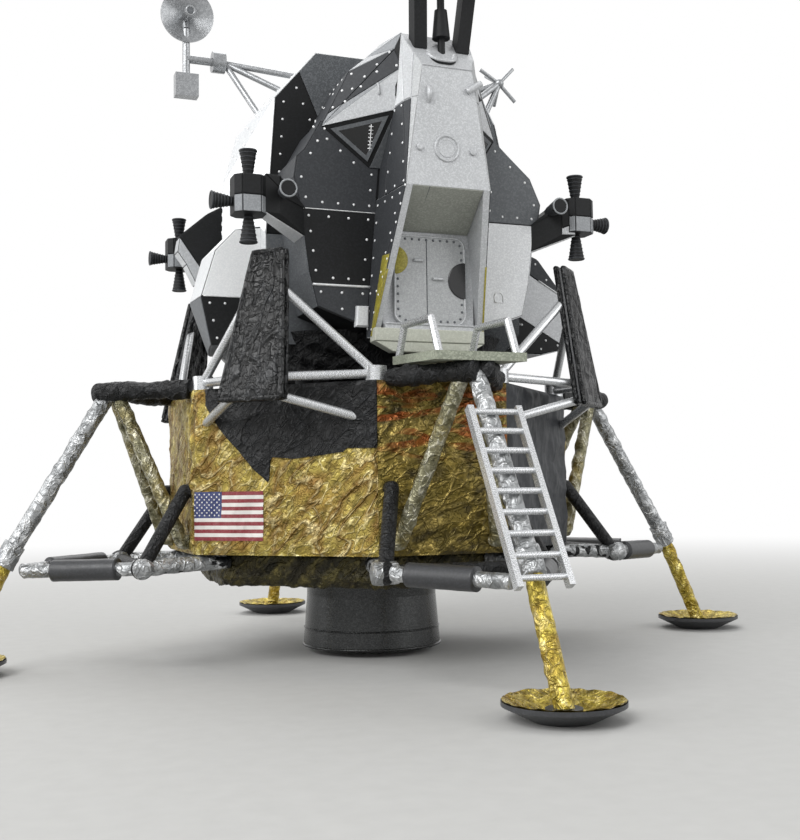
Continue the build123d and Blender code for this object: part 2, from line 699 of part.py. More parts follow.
# Boom that carries the steerable dish, its knob drilled for the pin
axis_z = deck_z + dish_axis_h
knob_low = (dish_knob_x - dish_knob_w / 2, 0, axis_z)
knob_high = (dish_knob_x + dish_knob_w / 2, 0, axis_z)
pin_end = (dish_knob_x + dish_knob_w / 4, 0, axis_z)
pin_hole = rod((dish_knob_x - dish_knob_w, 0, axis_z), pin_end, dish_pin_d + 2 * pin_gap)
boom_feet = ((-11.0, boom_feet_y, deck_z + mid_roof_h - 0.4), (-14.0, boom_feet_y, deck_z + mid_roof_h - 3.0),
             (-18.0, boom_feet_y, deck_z + mid_roof_h - 7.0))
boom_rods = [rod(knob_high, foot_point, boom_rod_d) for foot_point in boom_feet]
boom = cut(fuse(rod(knob_low, knob_high, dish_knob_d), *boom_rods), mid_section, pin_hole)
save("antenna_boom", boom)

# Steerable dish: reflector with its feed, post with its counterweight box, and the pin in the knob
dish_z = axis_z + dish_rise
reflector = spin([(0, 0), (dish_d / 2, dish_dip), (dish_d / 2, dish_dip + dish_t), (0, dish_t)])
feed = rod((0, 0, dish_t / 2), (0, 0, dish_feed_length), dish_feed_d)
feed_ring = rod((0, 0, dish_feed_length - dish_t), (0, 0, dish_feed_length), dish_feed_ring_d)
reflector = fuse(reflector, feed, feed_ring)
reflector = reflector.rotate(Axis.X, 90 + dish_tip_down).translate(Vector(dish_x, dish_dip / 2, dish_z))
box_z = axis_z - dish_box_drop
post = rod((dish_x, 0, box_z), (dish_x, 0, dish_z - dish_d / 4), dish_post_d)
neck = rod((dish_x, 0, dish_z - dish_d / 4), (dish_x, dish_dip / 2, dish_z), dish_post_d)
weight = box((dish_x - dish_box_w / 2, -dish_box_deep / 2, box_z - dish_box_h / 2),
             (dish_x + dish_box_w / 2, dish_box_deep / 2, box_z + dish_box_h / 2))
pin = rod((dish_x, 0, axis_z), (dish_knob_x + dish_knob_w / 4 - 2 * pin_gap, 0, axis_z), dish_pin_d)
save("dish_antenna", fuse(reflector, post, neck, weight, pin))

# Star aerial on three rods from the right shoulder
star = Vector(star_x, 0, deck_z + star_h)
aerial_parts = [Solid.make_sphere(star_hub_d / 2, Plane(origin=star))]
roof_z = deck_z + mid_roof_h
for foot_point in ((11.6, 3.0, roof_z - 0.4), (14.0, -2.0, roof_z - 3.2), (18.0, 0.0, roof_z - 7.2)):
    aerial_parts.append(rod(tuple(star), foot_point, star_rod_d))
for spike in ((-0.88, -0.05, 0.47), (-0.2, 0.8, 0.56), (0.69, 0.1, 0.72), (0.67, -0.1, -0.74), (0.1, 0.7, -0.7)):
    aerial_parts.append(rod(tuple(star), tuple(star + Vector(*spike).normalized() * star_spike_length), star_spike_d))
save("star_aerial", cut(fuse(*aerial_parts), mid_section))

# Radar fork rooted on the column's sloping top, and the radar that tilts in it
fork_foot_z = deck_z + column_top_h - fork_foot_sink
fork_axis_z = deck_z + column_top_h + fork_rise
fork_pin_hole = rod((-2 * fork_axis_half, fork_axis_y, fork_axis_z), (2 * fork_axis_half, fork_axis_y, fork_axis_z),
                    radar_pin_d + 2 * pin_gap)
fork_parts = []
for side in (-1, 1):
    arm = convex([
        (side * x + dx, y + dy, z)
        for x, y, z in ((fork_foot_half, fork_foot_y, fork_foot_z),
                        (fork_axis_half, fork_axis_y, fork_axis_z + fork_arm_over))
        for dx in (-fork_arm_w / 2, fork_arm_w / 2)
        for dy in (-fork_arm_t / 2, fork_arm_t / 2)
    ])
    fork_parts.append(cut(arm, fork_pin_hole, cabin, front_column))
mast_z = fork_foot_z - 1
mast = fuse(
    rod((0, mast_y, mast_z), (0, mast_y, mast_z + mast_top), mast_d),
    rod((0, mast_y, mast_z + mast_body_low), (0, mast_y, mast_z + mast_body_high), mast_body_d, 0.7 * mast_body_d),
)
fork_parts.append(cut(mast, cabin, front_column))
save("radar_fork", *fork_parts)

pin_half = fork_axis_half + fork_arm_w / 2
radar = fuse(
    rod((-pin_half, fork_axis_y, fork_axis_z), (pin_half, fork_axis_y, fork_axis_z), radar_pin_d),
    rod((0, fork_axis_y - radar_hub_half, fork_axis_z), (0, fork_axis_y + radar_hub_half, fork_axis_z), radar_hub_d),
    spin([(0, 0), (radar_dish_d / 2, radar_dip), (radar_dish_d / 2, radar_dip + dish_t), (0, dish_t)])
    .rotate(Axis.X, 90).translate(Vector(0, fork_axis_y - radar_stand, fork_axis_z)),
)
save("rendezvous_radar", radar)
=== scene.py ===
"""The looks of a small built model of a two-stage lunar lander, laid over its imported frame."""
import bpy
import numpy as np
from bpy.props import FloatProperty, FloatVectorProperty, PointerProperty
from mathutils import Matrix, Vector


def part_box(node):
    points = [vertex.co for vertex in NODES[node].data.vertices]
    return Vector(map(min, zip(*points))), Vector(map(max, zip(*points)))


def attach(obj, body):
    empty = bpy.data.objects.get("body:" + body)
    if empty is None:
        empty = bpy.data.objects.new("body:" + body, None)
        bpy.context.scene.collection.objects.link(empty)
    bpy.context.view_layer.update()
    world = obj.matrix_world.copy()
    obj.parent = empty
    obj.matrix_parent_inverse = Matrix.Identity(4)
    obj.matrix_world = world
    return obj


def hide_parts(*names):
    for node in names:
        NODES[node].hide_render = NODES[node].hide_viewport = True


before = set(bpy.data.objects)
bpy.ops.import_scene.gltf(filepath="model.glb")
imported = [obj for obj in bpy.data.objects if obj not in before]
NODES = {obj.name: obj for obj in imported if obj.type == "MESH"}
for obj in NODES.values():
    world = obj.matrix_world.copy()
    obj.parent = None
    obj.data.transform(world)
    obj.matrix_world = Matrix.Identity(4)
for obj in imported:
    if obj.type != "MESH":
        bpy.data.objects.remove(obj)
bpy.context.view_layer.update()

bl_info = {
    "name": "Lunar lander model",
    "version": (1, 0, 0),
    "blender": (4, 5, 0),
    "location": "3D View > Sidebar > Lander",
    "description": "Foils, panels, rivets, fittings and finishes of a small lunar lander model",
    "category": "Object",
}

MM = 0.001
UPWARD, FORWARD = np.array((0, 0, 1.0)), np.array((0, -1.0, 0))
WHITE = (1, 1, 1, 1)

# camera, worked out from the photograph: place in metres, turn, rise and roll in degrees, lens in mm
EYE = (-0.05887, -0.16529, 0.02421)
YAW, PITCH, ROLL = 21.156, 3.495, -0.81
LENS, SENSOR, NEAREST = 48.79, 36.0, 0.001
# lamps: name, place and size in metres, watts; all look at one point of the model
LAMPS = (("key", (-0.5, -0.38, 0.5), 0.45, 4.3), ("fill", (0.5, -0.45, 0.3), 0.5, 1.4),
         ("left", (-0.65, 0.2, 0.25), 0.4, 1.6), ("top", (0.1, 0.35, 0.6), 0.5, 1.8))
LIT_POINT = (0, 0, 0.045)
# the floor's rings in metres, and the two distances in mm between which it fades to white
FLOOR_RINGS, FLOOR_SIDES = (0.02, 0.3, 1.5, 9.0), 96
FADE_START, FADE_END = 90, 420
# how strongly the white world lights the model; what looks at it sees full white
WORLD_LIGHT = 0.45

# sizes of the frame that the new pieces stand on, in mm
BODY_LOW, BODY_HIGH = np.array(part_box("descent_body")) / MM
BODY_HALF, BODY_FOOT, DECK = BODY_HIGH[0], BODY_LOW[2], BODY_HIGH[2]
LEG_HALF = 9.2
LEGS = (("right", 0), ("rear", 90), ("left", 180), ("front", -90))
CORNERS = ("front_left", "front_right", "rear_left", "rear_right")
# the lower stage's sides by number, counted to the right from the front one
FRONT, FRONT_RIGHT, REAR_RIGHT, REAR_LEFT, FRONT_LEFT = 0, 1, 3, 5, 7

# a leg in its own plane: how far out, how far sideways, how high
KNEE = np.array((BODY_HALF + 23.7, 0, 15.8))
STRUT_TOP = np.array((BODY_HALF + 11.4, 0, 36.6))
FOOT = np.array((BODY_HALF + 30.4, 0, 1.3))
STRUT_R, KNEE_R, ROD_R = 1.37, 1.75, 1.3
OUTRIGGER_Z, OUTRIGGER_R, OUTRIGGER_PAST = 38.55, 1.6, 0.08
OUTRIGGER_ROOT, OUTRIGGER_TIP = (BODY_HALF + 0.2, 7.4, OUTRIGGER_Z), (BODY_HALF + 11.0, 1.2, OUTRIGGER_Z)
BRACE_TOP, BRACE_FOOT, BRACE_R = (BODY_HALF + 9.4, 1.3, OUTRIGGER_Z), (BODY_HALF + 1.3, 6.9, 17.4), 1.2
SIDE_INNER, SIDE_OUTER = (BODY_HALF + 7.3, 11.1, 14.2), (BODY_HALF + 21.75, 1.4, 13.8)
SIDE_R, SLEEVE_R, KNUCKLE_R, KNUCKLE_HALF = 1.1, 1.5, 1.65, 1.5
SLEEVE_START, SLEEVE_END = 0.2, 0.74
# how far the strut's foil runs past its top, its collar below and above the knee, and the rod's foil past its ends
STRUT_PAST, COLLAR_BELOW, COLLAR_ABOVE, ROD_BELOW, ROD_ABOVE = 2.9, 1.5, 1.9, 0.4, 0.8
OUTRIGGER_CREASE, SLEEVE_CREASE, LINER_CREASE = 0.6, 0.06, 0.12
ARM_END, ARM_R = (BODY_HALF - 4.4, 8.4, 14.6), 1.25
# the pad's liner: first and last radius, the radius where its slope starts, and its height before it
LINER_INNER, LINER_OUTER, LINER_BEND, LINER_Z, LINER_SLOPE = 2.0, 6.5, 3.3, 0.74, 0.48

# seams of the cabin's front, which lies at this y, and of what is seen beside it
CABIN_Y = -22.5
UPPER_SEAM_Z, LOWER_SEAM_Z = 61.5, 51.4
MID_SEAM_Z, MID_SEAM, MID_ACROSS = 60.0, np.array((-14.4, 0, 83.1)), np.array((6.0, 0, 2.6))
LEFT_SEAM_Z = 51.0
RIGHT_SEAM, RIGHT_LOW, RIGHT_ACROSS = np.array((24.2, 0, 56.1)), np.array((20.8, 0, 50.3)), np.array((1.75, 0, 3.1))
# silver beads laid on seams: start, end and radius
BEADS = (
    ((-17.2, CABIN_Y - 0.1, UPPER_SEAM_Z), (-6.8, CABIN_Y - 0.1, UPPER_SEAM_Z), 0.1),
    ((-15.7, CABIN_Y - 0.1, LOWER_SEAM_Z), (-7.7, CABIN_Y - 0.1, LOWER_SEAM_Z), 0.24),
    ((-18.2, -13.1, 79.3), (-19.6, -13.1, 60.1), 0.2),
    ((24.2, -10.65, 56.1), (27.6, -10.65, 54.2), 0.16),
    ((-28.1, -12.1, LEFT_SEAM_Z), (-18.3, -12.1, LEFT_SEAM_Z), 0.1),
)
CABIN_BLOCK_PROUD = 0.9
CABIN_BLOCK = np.array([(-10.0, CABIN_Y, 45.9), (-8.2, CABIN_Y, 45.9), (-8.1, CABIN_Y, 48.7), (-9.8, CABIN_Y, 48.7)])
ARCH_LEFT, ARCH_RIGHT, ARCH_FOOT, ARCH_SPRING = 10.8, 12.1, 50.2, 51.0

# the brow's left side: the seam runs from a point on the edge corner to peak, to the column's top
BROW_CORNER, BROW_PEAK, BROW_END = np.array((-14.2, -22.5, 72.8)), np.array((-10.6, -23.4, 80.3)), (-4.7, -28.0, 80.0)
BROW_NORMAL, BROW_SHARE, BROW_Z = (-0.6, -0.78, 0.15), 0.22, 74.8
# the two facets that the seam crosses have their middles in this box
BROW_BOX = (-11, -26.1, 78), (-7.9, -23, 79.5)
BROW_FACET = ((14.2, -22.5, 72.8), (5.3, -27.0, 74.6), (5.5, -27.3, 77.6), (4.7, -28.0, 80.0))
BROW_HOOK = (-7.6, -26.45, 77.3)

# the column's facets on the right, its edges and front as (x or y, z), and what stands on it as (x, z)
COLUMN_FLANK = ((5.9, -31.9, 63.3), (6.3, -25.1, 63.3), (5.5, -26.5, 73.9), (5.3, -27.4, 76.3), (4.7, -28.0, 84.6))
COLUMN_CHAMFER = ((5.9, -31.9, 63.3), (4.2, -31.0, 81.0), (4.7, -28.0, 84.6))
COLUMN_BEVEL = ((4.2, -31.0, 81.0), (5.9, -31.9, 63.3), (3.4, -32.1, 79.1))
COLUMN_EDGE = ((6.6, 63.3), (8.2, 44.5))
COLUMN_FRONT = ((-31.9, 63.3), (-32.1, 79.1))
COLUMN_RING, COLUMN_KNOBS, COLUMN_TAB = (-0.2, 68.35), ((-4.0, 68.2), (3.5, 68.2)), (-2.9, 75.3)
COLUMN_STUB, COLUMN_LIP = ((2.7, 76.1), (4.6, 77.3)), ((-3.5, 79.1), (3.5, 79.1))
# its two rings: how far proud, radius, wire, points round and round the wire; then sizes of the rest
RING_WIRES = ((0.02, 1.65, 0.17, 40, 8), (0.0, 1.15, 0.06, 32, 6))
KNOB_R, KNOB_H, TAB_R, TAB_THICK, TAB_SUNK, STUB_R, LIP_R, HOOK_R = 0.45, 0.3, 1.4, 0.5, 0.7, 0.45, 0.1, 0.13
CRADLE_R, CRADLE_LINE_R, ARCH_R, ARCH_PROUD = 0.42, 0.16, 0.1, 0.14
# the cradle on its top: middle, half width, how far its ends rise and the slope that they rise along
CRADLE, CRADLE_HALF, CRADLE_RISE = np.array((-0.25, -31.83, 79.75)), 1.95, 1.5
CRADLE_SLOPE = np.array((0, 4.1, 5.5)) / 6.86
YELLOW_WEDGE = ((8.05, -23.9, 44.5), (8.0, -24.2, 44.5), (6.83, -28.3, 54.9), (7.0, -26.0, 55.05))

# windows: corners by side, and how far their frames stand out
WINDOW_CORNERS = {
    -1: ((14.2, -22.5, 72.8), (7.6, -22.5, 67.7), (5.3, -27.0, 74.6)),
    1: ((11.1, -22.5, 73.2), (7.6, -22.5, 67.7), (5.3, -27.0, 74.6)),
}
WINDOW_PROUD, FRAME_OUTER, FRAME_INNER = 0.25, 0.55, 1.05
SCALE_MARKS, SCALE_R, TICK_R, TICK_HALF = 7, 0.07, 0.06, 0.3
WINDOW_FACET = ((7.6, -22.5, 67.7), (5.9, -22.5, 67.7), (5.5, -26.5, 73.9), (5.3, -27.0, 74.6))

# the hatch, its handles as (left, right, height), its seam as (x, low, high) and its painted marks as (x, z, radius)
HATCH_Y, HATCH_HALF, HATCH_LOW, HATCH_HIGH, HATCH_ROUND = -25.1, 5.2, 46.2, 58.3, 1.4
HATCH_HANDLES, HATCH_SEAM = ((-2.4, -1.0, 54.9), (0.4, 1.9, 52.5)), (-0.45, 46.8, 57.8)
DARK_MARK, YELLOW_MARK = (5.15, 52.4, 2.5), (-5.1, 54.8, 1.9)
SILL_HALF, SILL_Y, SILL_Z, SILL_R = 6.5, -25.45, 46.2, 0.12
# rim, rivets, handles and lines of the hatch: how far in from its outline, how far proud, radius and height
RIM_IN, RIM_PROUD, RIM_R = 0.12, 0.03, 0.13
HATCH_RIVET_IN, HATCH_RIVET_R, HATCH_RIVET_H, HATCH_RIVET_PITCH = 0.55, 0.19, 0.14, 1.0
HANDLE_PROUD, HANDLE_R, SEAM_R, CEILING_SEAM_R, MARK_PROUD, EDGE_R, WEDGE_PROUD = 0.18, 0.2, 0.07, 0.08, 0.16, 0.12, 0.2
# the alcove: seams of its ceiling, its right outer edge, and the painted shares of that edge by side
CEILING_SEAMS = (((-2.63, -31.86, 63.2), (-2.03, -24.63, 58.98)), ((1.62, -31.81, 63.2), (2.36, -24.67, 58.98)))
ALCOVE_FOOT, ALCOVE_TOP = np.array((8.0, -24.25, 44.6)), np.array((5.9, -31.95, 63.2))
ALCOVE_PAINTED = ((-1, 0.0, 0.45), (1, 0.02, 0.5))
APRON = ((-8.1, 45.6), (-8.15, 43.8), (-5.5, 42.4), (5.3, 42.4), (7.8, 43.8), (7.8, 45.6))
APRON_Y, APRON_SEAM_Z, APRON_UPPER, APRON_LOWER = -23.6, 43.8, 1.9, 1.8
# the wrap under the upper stage: its middle's y, half widths and depths where its wall starts and where its
# floor starts, heights of both, and points round it and down it
WRAP_Y, WRAP_WIDE, WRAP_DEEP, WRAP_Z, WRAP_GRID = -3.2, (17.6, 15.6), (15.0, 13.5), (46.3, 40.8), (260, 60)

# thruster groups: hub, then how their four cones stand on it
QUADS = (("front_left", (-24.5, -23.4, 62.2)), ("front_right", (23.6, -23.4, 62.9)),
         ("rear_left", (-25.0, 23.4, 63.8)), ("rear_right", (25.0, 23.4, 63.8)))
BLOCK_HALF, BLOCK_H = 2.1, 4.9
CONE_LONG, CONE_SHORT, CONE_ROOT_R, CONE_MOUTH_R, CONE_SUNK = 3.8, 3.0, 0.5, 1.1, 0.3
SIDE_DROP, END_INSET, END_RISE = 0.8, 4.4, 0.6
CONE_RIBS, RIB_R, CONE_RIM_R, MOUTH_PROUD = 6, 0.08, 0.13, 0.05
# height of the band's seam under the block's middle, and of the arm's seam over its underside
BAND_DROP, ARM_SEAM = 0.2, 1.6

# the dish on its boom: middle of its back and how far it looks down in degrees; its rings as distance from
# there, radius, wire, points round and points round the wire
DISH_MIDDLE, DISH_DOWN = np.array((-28.1, 0.75, DECK + 56.5)), 6.0
DISH_RINGS = ((1.7, 3.74, 0.11, 72, 8), (4.22, 0.62, 0.13, 32, 8), (0.75, 1.3, 0.07, 40, 6))
FEED_END, FEED_R = 4.2, 0.45
# height of the folds on the pan and the deflectors, and the roll of foil sunk into a deflector's edges
PAN_FOLDS, DEFLECTOR_FOLDS, ROLL_R, ROLL_SUNK = 0.7, 0.55, 0.42, 0.12
# the lower bell's rings: height, radius and wire
BELL_RINGS = ((3.7, 10.2, 0.13), (1.15, 10.3, 0.22))

# the flag on the front left face: run along the face, height; its points along and up
FLAG_S, FLAG_Z, FLAG_GRID = (0.15, 11.15), (17.65, 24.25), (90, 54)
FLAG_STRIPES, CANTON_WIDE, CANTON_STRIPES = 13, 0.4, 7
STAR_OUTER, STAR_INNER = 0.17, 0.07
# how far the paper and the stars lie over the foil
FLAG_LIFT, STAR_LIFT = 0.06, 0.1
# the black foil's torn lower edge on the front left face: run along the face, height
TORN_EDGE = ((0.0, 38.3), (2.1, 38.3), (2.2, 36.3), (4.24, 33.05), (7.0, 30.4), (10.0, 27.2), (12.0, 25.5),
             (12.3, 29.0), (16.0, 28.7), (23.2, 29.4), (23.6, 29.9), (27.9, 29.8))
TORN_OVERLAP, BLACK_LIFT = 0.25, 0.16
# step along a side and points up it of a foil sheet
SHEET_STEP, SHEET_ROWS = 0.22, 96


# numbers and meshes

def linear(code):
    """Linear colour of an sRGB hex code: c/12.92 below 0.04045, else ((c + 0.055)/1.055) to the power 2.4."""
    c = np.array([int(code[i:i + 2], 16) for i in (1, 3, 5)]) / 255
    c = np.where(c <= 0.04045, c / 12.92, ((c + 0.055) / 1.055) ** 2.4)
    return (*c.tolist(), 1.0)


def unit(vectors):
    """Vectors divided by their lengths."""
    vectors = np.asarray(vectors, float)
    return vectors / np.linalg.norm(vectors, axis=-1, keepdims=True)


def folds(u, v, seed, count=12, longest=6.0, shortest=1.2):
    """Height of crumpled foil, about -1 to 1: a sum of sharp-topped waves 1 - 2 (2 |t - round t|) to the power 0.8
    in scattered directions, each with t = (u cos a + v sin a)/length + phase, where lengths step from longest to
    shortest and heights with them. A slow noise of sines turns each wave on and off along the foil."""
    dice = np.random.default_rng(seed)
    angle = dice.uniform(0, np.pi, count)[:, None, None]
    phase = dice.uniform(0, 1, count)[:, None, None]
    length = np.geomspace(longest, shortest, count)[:, None, None]
    t = (u[None] * np.cos(angle) + v[None] * np.sin(angle)) / length + phase
    t = t + 0.12 * np.sin((v[None] * np.cos(angle) - u[None] * np.sin(angle)) / length * 2.3 + 6 * phase)
    wave = 1 - 2 * (2 * np.abs(t - np.round(t))) ** 0.8
    slow = (u[None] * np.sin(3 * angle) + v[None] * np.cos(5 * angle)) / length * 1.1
    gate = 0.5 + 0.5 * np.sin(slow + 9 * phase)
    weight = (length / longest) ** 1.15
    return (wave * gate * weight).sum(0) / weight.sum() * 3.2


def grid_faces(rows, columns, wrap=False):
    """Quads of a grid of rows by columns of points, closed round the columns if wrap."""
    index = np.arange(rows * columns).reshape(rows, columns)
    if wrap:
        index = np.hstack([index, index[:, :1]])
    quads = np.stack([index[:-1, :-1], index[:-1, 1:], index[1:, 1:], index[1:, :-1]], -1)
    return quads.reshape(-1, 4)


def capped(rows):
    """Rings of corners one above another as a closed shape: quads between them, one face below and one above."""
    count, last = len(rows[0]), (len(rows) - 1) * len(rows[0])
    faces = grid_faces(len(rows), count, True).tolist()
    return np.vstack(rows), faces + [list(range(last, last + count)), list(range(count - 1, -1, -1))]


def piece(name, shape, finish, body, smooth=False):
    """Puts a shape's points in mm and its faces into a mesh, gives it its finish and lets it ride on its body."""
    points, faces = shape
    mesh = bpy.data.meshes.new(name)
    mesh.from_pydata((np.asarray(points).reshape(-1, 3) * MM).tolist(), [], [list(map(int, f)) for f in faces])
    mesh.validate()
    mesh.polygons.foreach_set("use_smooth", np.full(len(mesh.polygons), smooth))
    mesh.materials.append(FINISH[finish])
    thing = bpy.data.objects.new(name, mesh)
    bpy.context.scene.collection.objects.link(thing)
    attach(thing, body)
    return thing


class Pile:
    """Points and faces of many like shapes, gathered for one mesh."""

    def __init__(self, *shapes):
        self.points, self.faces, self.count = [], [], 0
        for shape in shapes:
            self.put(shape)

    def put(self, shape):
        """Adds a shape, its faces counted on from the points that are there."""
        points, faces = shape
        points = np.asarray(points).reshape(-1, 3)
        self.points.append(points)
        self.faces.extend([(np.asarray(f) + self.count).tolist() for f in faces])
        self.count += len(points)

    def make(self, name, finish, body, smooth=False, slot=None):
        """All of it as one piece."""
        return piece(name, (np.vstack(self.points), self.faces), finish, body, smooth)


def tube(path, radius, around=16, crease=0.0, seed=1, flat=1.0):
    """A closed tube: at each path point a ring radius(cos a, flat sin a) across the path, its radius varied by
    crumpled folds of height crease; both ends close in a pole."""
    path = np.asarray(path, float)
    along = unit(np.gradient(path, axis=0))
    side = np.cross(along, UPWARD)
    weak = np.linalg.norm(side, axis=1) < 0.05
    side[weak] = np.cross(along[weak], (0.0, 1.0, 0.0))
    side = unit(side)
    rise = np.cross(side, along)
    turn = np.linspace(0, 2 * np.pi, around, endpoint=False)
    r = np.broadcast_to(np.asarray(radius, float), (len(path),))[:, None] * np.ones((1, around))
    if crease:
        run = np.concatenate([[0], np.linalg.norm(np.diff(path, axis=0), axis=1).cumsum()])
        arc = np.linspace(0, 2 * np.pi * r.max(), around, endpoint=False)
        lump = folds(np.broadcast_to(run[:, None], r.shape), np.broadcast_to(arc[None], r.shape), seed, 10, 3.0, 0.9)
        fade = 0.5 - 0.5 * np.cos(turn)
        r = r - crease * (1 - lump * (0.3 + 0.7 * fade[None])) / 2
    ring = (path[:, None] + r[..., None] * (np.cos(turn)[None, :, None] * side[:, None]
            + flat * np.sin(turn)[None, :, None] * rise[:, None]))
    points = np.vstack([ring.reshape(-1, 3), path[:1], path[-1:]])
    faces = [list(f) for f in grid_faces(len(path), around, True)]
    start_pole, end_pole = len(path) * around, len(path) * around + 1
    first = np.arange(around)
    last = first + (len(path) - 1) * around
    faces += [[start_pole, b, a] for a, b in zip(first, np.roll(first, -1))]
    faces += [[end_pole, a, b] for a, b in zip(last, np.roll(last, -1))]
    return points, [f[::-1] for f in faces]


def run_between(start, end, step=0.3):
    """Evenly spaced points from start to end: start + t (end - start)."""
    start, end = np.array(start, float), np.array(end, float)
    count = max(int(np.linalg.norm(end - start) / step), 3)
    return start + np.linspace(0, 1, count)[:, None] * (end - start)


def rod(start, end, step, radius, around, flat=1.0):
    """A straight tube from start to end, with a ring about every step."""
    return tube(run_between(start, end, step), radius, around, flat=flat)


def around_leg(points, angle):
    """Points given as (reach, sideways, height) on a leg at an angle in degrees, turned into place."""
    points = np.asarray(points, float)
    turn = np.radians(angle)
    x = points[..., 0] * np.cos(turn) - points[..., 1] * np.sin(turn)
    y = points[..., 0] * np.sin(turn) + points[..., 1] * np.cos(turn)
    return np.stack([x, y, points[..., 2]], -1)


def solid(node):
    """Points in mm, with doubles joined, and triangles of a node."""
    mesh = NODES[node].data
    points = np.empty(len(mesh.vertices) * 3)
    mesh.vertices.foreach_get("co", points)
    mesh.calc_loop_triangles()
    corners = np.empty(len(mesh.loop_triangles) * 3, int)
    mesh.loop_triangles.foreach_get("vertices", corners)
    points, index = np.unique(np.round(points.reshape(-1, 3) / MM, 3), axis=0, return_inverse=True)
    return points, index.reshape(-1)[corners].reshape(-1, 3)


def facets(node, least):
    """Flat faces of a node above an area in mm2, each as its outward normal and its ring of corners: triangles
    whose normal and offset agree are one face, and its ring runs along the edges that only one of them has."""
    points, corners = solid(node)
    a, b, c = points[corners[:, 0]], points[corners[:, 1]], points[corners[:, 2]]
    normal = np.cross(b - a, c - a)
    size = np.linalg.norm(normal, axis=1)
    keep = size > 1e-4
    corners, size, a = corners[keep], size[keep], a[keep]
    normal = normal[keep] / size[:, None]
    offset = (normal * a).sum(1, keepdims=True)
    plane = np.round(np.hstack([normal / 0.02, offset / 0.1])).astype(int)
    group = np.unique(plane, axis=0, return_inverse=True)[1].reshape(-1)
    found = []
    for number in np.flatnonzero(np.bincount(group, size) / 2 >= least):
        mine = corners[group == number]
        edges = {tuple(edge) for edge in np.vstack([mine[:, [0, 1]], mine[:, [1, 2]], mine[:, [2, 0]]]).tolist()}
        after = {i: j for i, j in edges if (j, i) not in edges}
        rings = []
        while after:
            at = next(iter(after))
            ring = []
            while at in after:
                ring.append(at)
                at = after.pop(at)
            rings.append(ring)
        ring = tidy_ring(points[max(rings, key=len)])
        if len(ring) > 2:
            found.append((unit((normal[group == number] * size[group == number, None]).sum(0)), ring))
    return found


def tidy_ring(ring, least=0.25):
    """A ring without corners that lie nearly on each other or on a straight edge."""
    ring = np.asarray(ring, float)
    ring = ring[np.linalg.norm(ring - np.roll(ring, 1, 0), axis=1) > least]
    if len(ring) < 3:
        return ring
    before, after = ring - np.roll(ring, 1, 0), np.roll(ring, -1, 0) - ring
    bend = np.linalg.norm(np.cross(before, after), axis=1)
    return ring[bend > 0.02 * np.linalg.norm(before, axis=1) * np.linalg.norm(after, axis=1)]


def clip(ring, toward, limit):
    """The part of a ring where its points' product with toward is at least limit."""
    side = ring @ np.asarray(toward, float) - limit
    kept = []
    for point, after, here, there in zip(ring, np.roll(ring, -1, 0), side, np.roll(side, -1)):
        if here >= 0:
            kept.append(point)
        if (here >= 0) != (there >= 0):
            kept.append(point + (after - point) * here / (here - there))
    return tidy_ring(kept) if len(kept) > 2 else np.empty((0, 3))


def split(ring, toward, limit):
    """The parts of a ring where its points' product with toward is at least limit, and at most limit."""
    return clip(ring, toward, limit), clip(ring, -toward, -limit)


def inset(ring, normal, width):
    """A ring drawn in by width on every edge: each corner moves by width (a + b)/(1 + a.b), a and b being the
    inward normals of its two edges."""
    inward = np.cross(normal, unit(np.roll(ring, -1, 0) - ring))
    other = np.roll(inward, 1, 0)
    spread = np.maximum(1 + (inward * other).sum(1, keepdims=True), 0.35)
    return ring + width * (inward + other) / spread


def outward(corners, side):
    """Corners mirrored to the left (side -1) or kept (side 1), in the order that faces sideways and forward, and
    their normal."""
    ring = np.array(corners) * (side, 1, 1)
    normal = np.cross(ring[1] - ring[0], ring[2] - ring[0])
    if normal @ (side, -0.5, 0) < 0:
        ring, normal = ring[::-1], -normal
    return ring, unit(normal)


def plate(ring, normal, proud, gap, bevel=0.05):
    """A thin plate on a flat face: its ring drawn in by gap, raised, drawn in again by the bevel, closed above
    and below by one face each."""
    return capped([inset(ring, normal, gap) - 0.02 * normal, inset(ring, normal, gap) + (proud - bevel) * normal,
                   inset(ring, normal, gap + bevel) + proud * normal])


def strip(ring, normal, outer, inner, low, proud):
    """A raised frame that follows a ring between two insets: four rows of corners, closed all round."""
    rows = [inset(ring, normal, width) + stand * normal
            for width, stand in ((outer, low), (outer, proud), (inner, proud), (inner, low), (outer, low))]
    return np.vstack(rows), grid_faces(5, len(ring), True)


def domes(places, normals, radius, tall):
    """Rivet heads: rings of 8 points at radius (1, 0.8, 0.4) and height (0, 0.6, 0.95) of tall, and a pole."""
    places, normals = np.asarray(places, float), np.asarray(normals, float)
    side = unit(np.cross(normals, (0.3, 0.5, 0.81)))
    other = np.cross(normals, side)
    turn = np.linspace(0, 2 * np.pi, 8, endpoint=False)
    circle = side[:, None] * np.cos(turn)[None, :, None] + other[:, None] * np.sin(turn)[None, :, None]
    rows = [places[:, None] + radius * share * circle + tall * rise * normals[:, None]
            for share, rise in ((1, 0), (0.8, 0.6), (0.4, 0.95))]
    points = np.concatenate([*rows, (places + tall * normals)[:, None]], 1)
    one = grid_faces(3, 8, True)
    top = [[16 + i, 16 + (i + 1) % 8, 24] for i in range(8)]
    shift = np.arange(len(places)) * 25
    faces = (one[None] + shift[:, None, None]).reshape(-1, 4).tolist()
    faces += (np.array(top)[None] + shift[:, None, None]).reshape(-1, 3).tolist()
    return points, faces + (np.arange(7, -1, -1)[None] + shift[:, None]).tolist()


